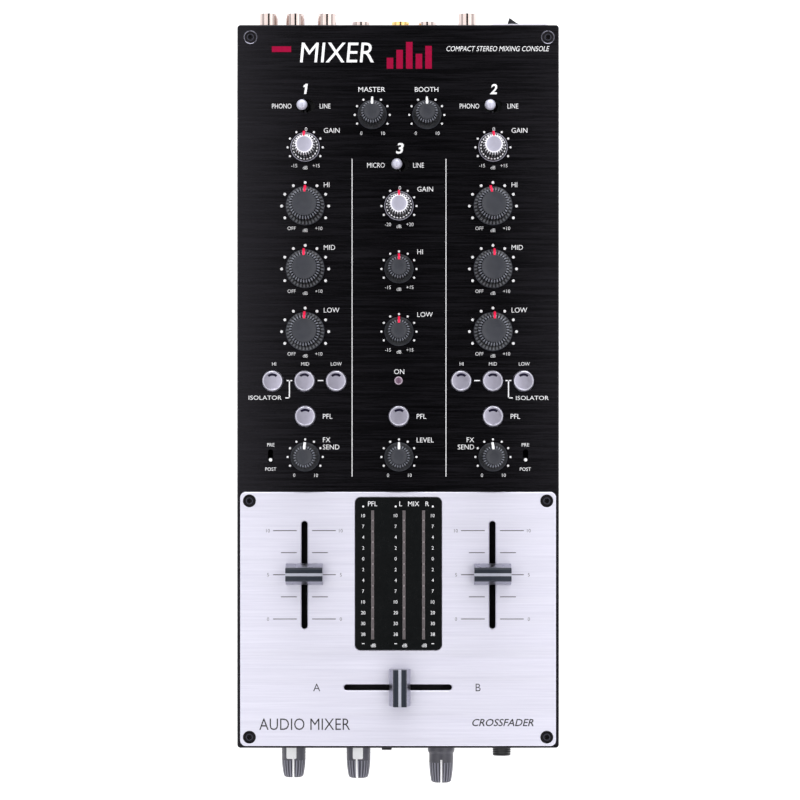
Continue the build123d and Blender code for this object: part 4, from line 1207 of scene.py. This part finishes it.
def print_meter():
    layer = Print("meter_print", INK_WHITE, METER_TOP)
    numbers = ("10", "7", "4", "2", "0", "2", "4", "7", "10", "20", "30", "38")
    for x in (-15.9, -1.1, 15.8):
        layer.dot(x, -54.8, 0.44)
        for i, number in enumerate(numbers):
            layer.words(number, x, -58.9 - i * 4.92, 1.6)
        layer.bar(x - 0.6, x + 0.6, -117.5, -117.2)
    for x in (-11.3, 3.0, 12.0):
        layer.words("dB", x, -118.1, 1.7)
    for name, x in (("PFL", -11.6), ("L", 1.2), ("MIX", 7.1), ("R", 13.3)):
        layer.words(name, x, -53.5, 2.3)
    layer.finish("black_gloss")


# ---- studio ----
def make_floor():
    corners = [(x, y, 0.0) for x, y in rectangle(12.0, 12.0)]
    floor = mesh_object("floor", (corners, [(0, 1, 2, 3)]))
    look = Look("floor_white", (0.9, 0.9, 0.91), 0.8, Emission_Color=(1, 1, 1, 1), Emission_Strength=0.5)
    look.shades(look.noise(3.0), (0.89, 0.89, 0.90), (0.91, 0.91, 0.92))
    floor.data.materials.append(look.material)


def softbox(name, place, size, radiance, aim=None):
    """Large flat light, in millimetres, that faces down or towards a point."""
    data = bpy.data.lights.new(name, "AREA")
    data.shape = "RECTANGLE"
    data.size = size[0] * MM
    data.size_y = size[1] * MM
    data.energy = radiance * pi * data.size * data.size_y
    light = new_object(name, data)
    light.location = Vector(place) * MM
    if aim:
        light.rotation_euler = (Vector(aim) - Vector(place)).to_track_quat("-Z", "Y").to_euler()
    light.visible_camera = False


def make_world():
    """Pale surroundings, dim straight above, and brighter behind the mixer than in front."""
    world = bpy.data.worlds.new("studio")
    bpy.context.scene.world = world
    world.use_nodes = True
    tree = world.node_tree
    background = tree.nodes["Background"]
    direction = new_node(tree, "TexCoord")
    parts = new_node(tree, "SeparateXYZ", [("Vector", direction.outputs["Generated"])])
    ramp = new_node(tree, "ValToRGB", [("Fac", parts.outputs["Z"])])
    links = [("Value", parts.outputs["Y"]), ("From Min", -0.6), ("From Max", 0.6)]
    side = new_node(tree, "MapRange", links + [("To Min", 0.65), ("To Max", 1.1)])
    tree.links.new(ramp.outputs["Color"], background.inputs["Color"])
    tree.links.new(side.outputs["Result"], background.inputs["Strength"])
    stops = ramp.color_ramp.elements
    stops[0].color = (1.1, 1.1, 1.12, 1)
    stops[1].color = (0.03, 0.03, 0.032, 1)
    for position, grey in ((0.35, 1.0), (0.6, 0.5), (0.8, 0.1)):
        stop = stops.new(position)
        stop.color = (grey, grey, grey * 1.02, 1)


def make_studio():
    make_floor()
    make_world()
    softbox("left_softbox", (-405, 0, 560), (620, 1280), 1.5)
    softbox("right_softbox", (430, 0, 560), (620, 1280), 1.7)
    softbox("rear_softbox", (60, 1000, 300), (1200, 360), 5.5, aim=(0, 60, 70))
    softbox("front_softbox", (0, -950, 480), (1200, 360), 2.2, aim=(0, -170, 50))
    bpy.context.scene.view_settings.view_transform = "Standard"


CONTROLS = (make_knobs, make_buttons, make_toggles, make_send_slides, make_faders)
FITTINGS = (make_screws, make_power_light, make_meter_bars, make_phono_cores, make_ground_post)
MAINS_AND_JACK = (make_mains_module, make_rocker, make_headphone_jack)
PRINTS = (print_panel, print_title_bars, print_plate, print_meter)

dress_cad_nodes()
for make in CONTROLS + FITTINGS + MAINS_AND_JACK + PRINTS:
    make()
make_studio()
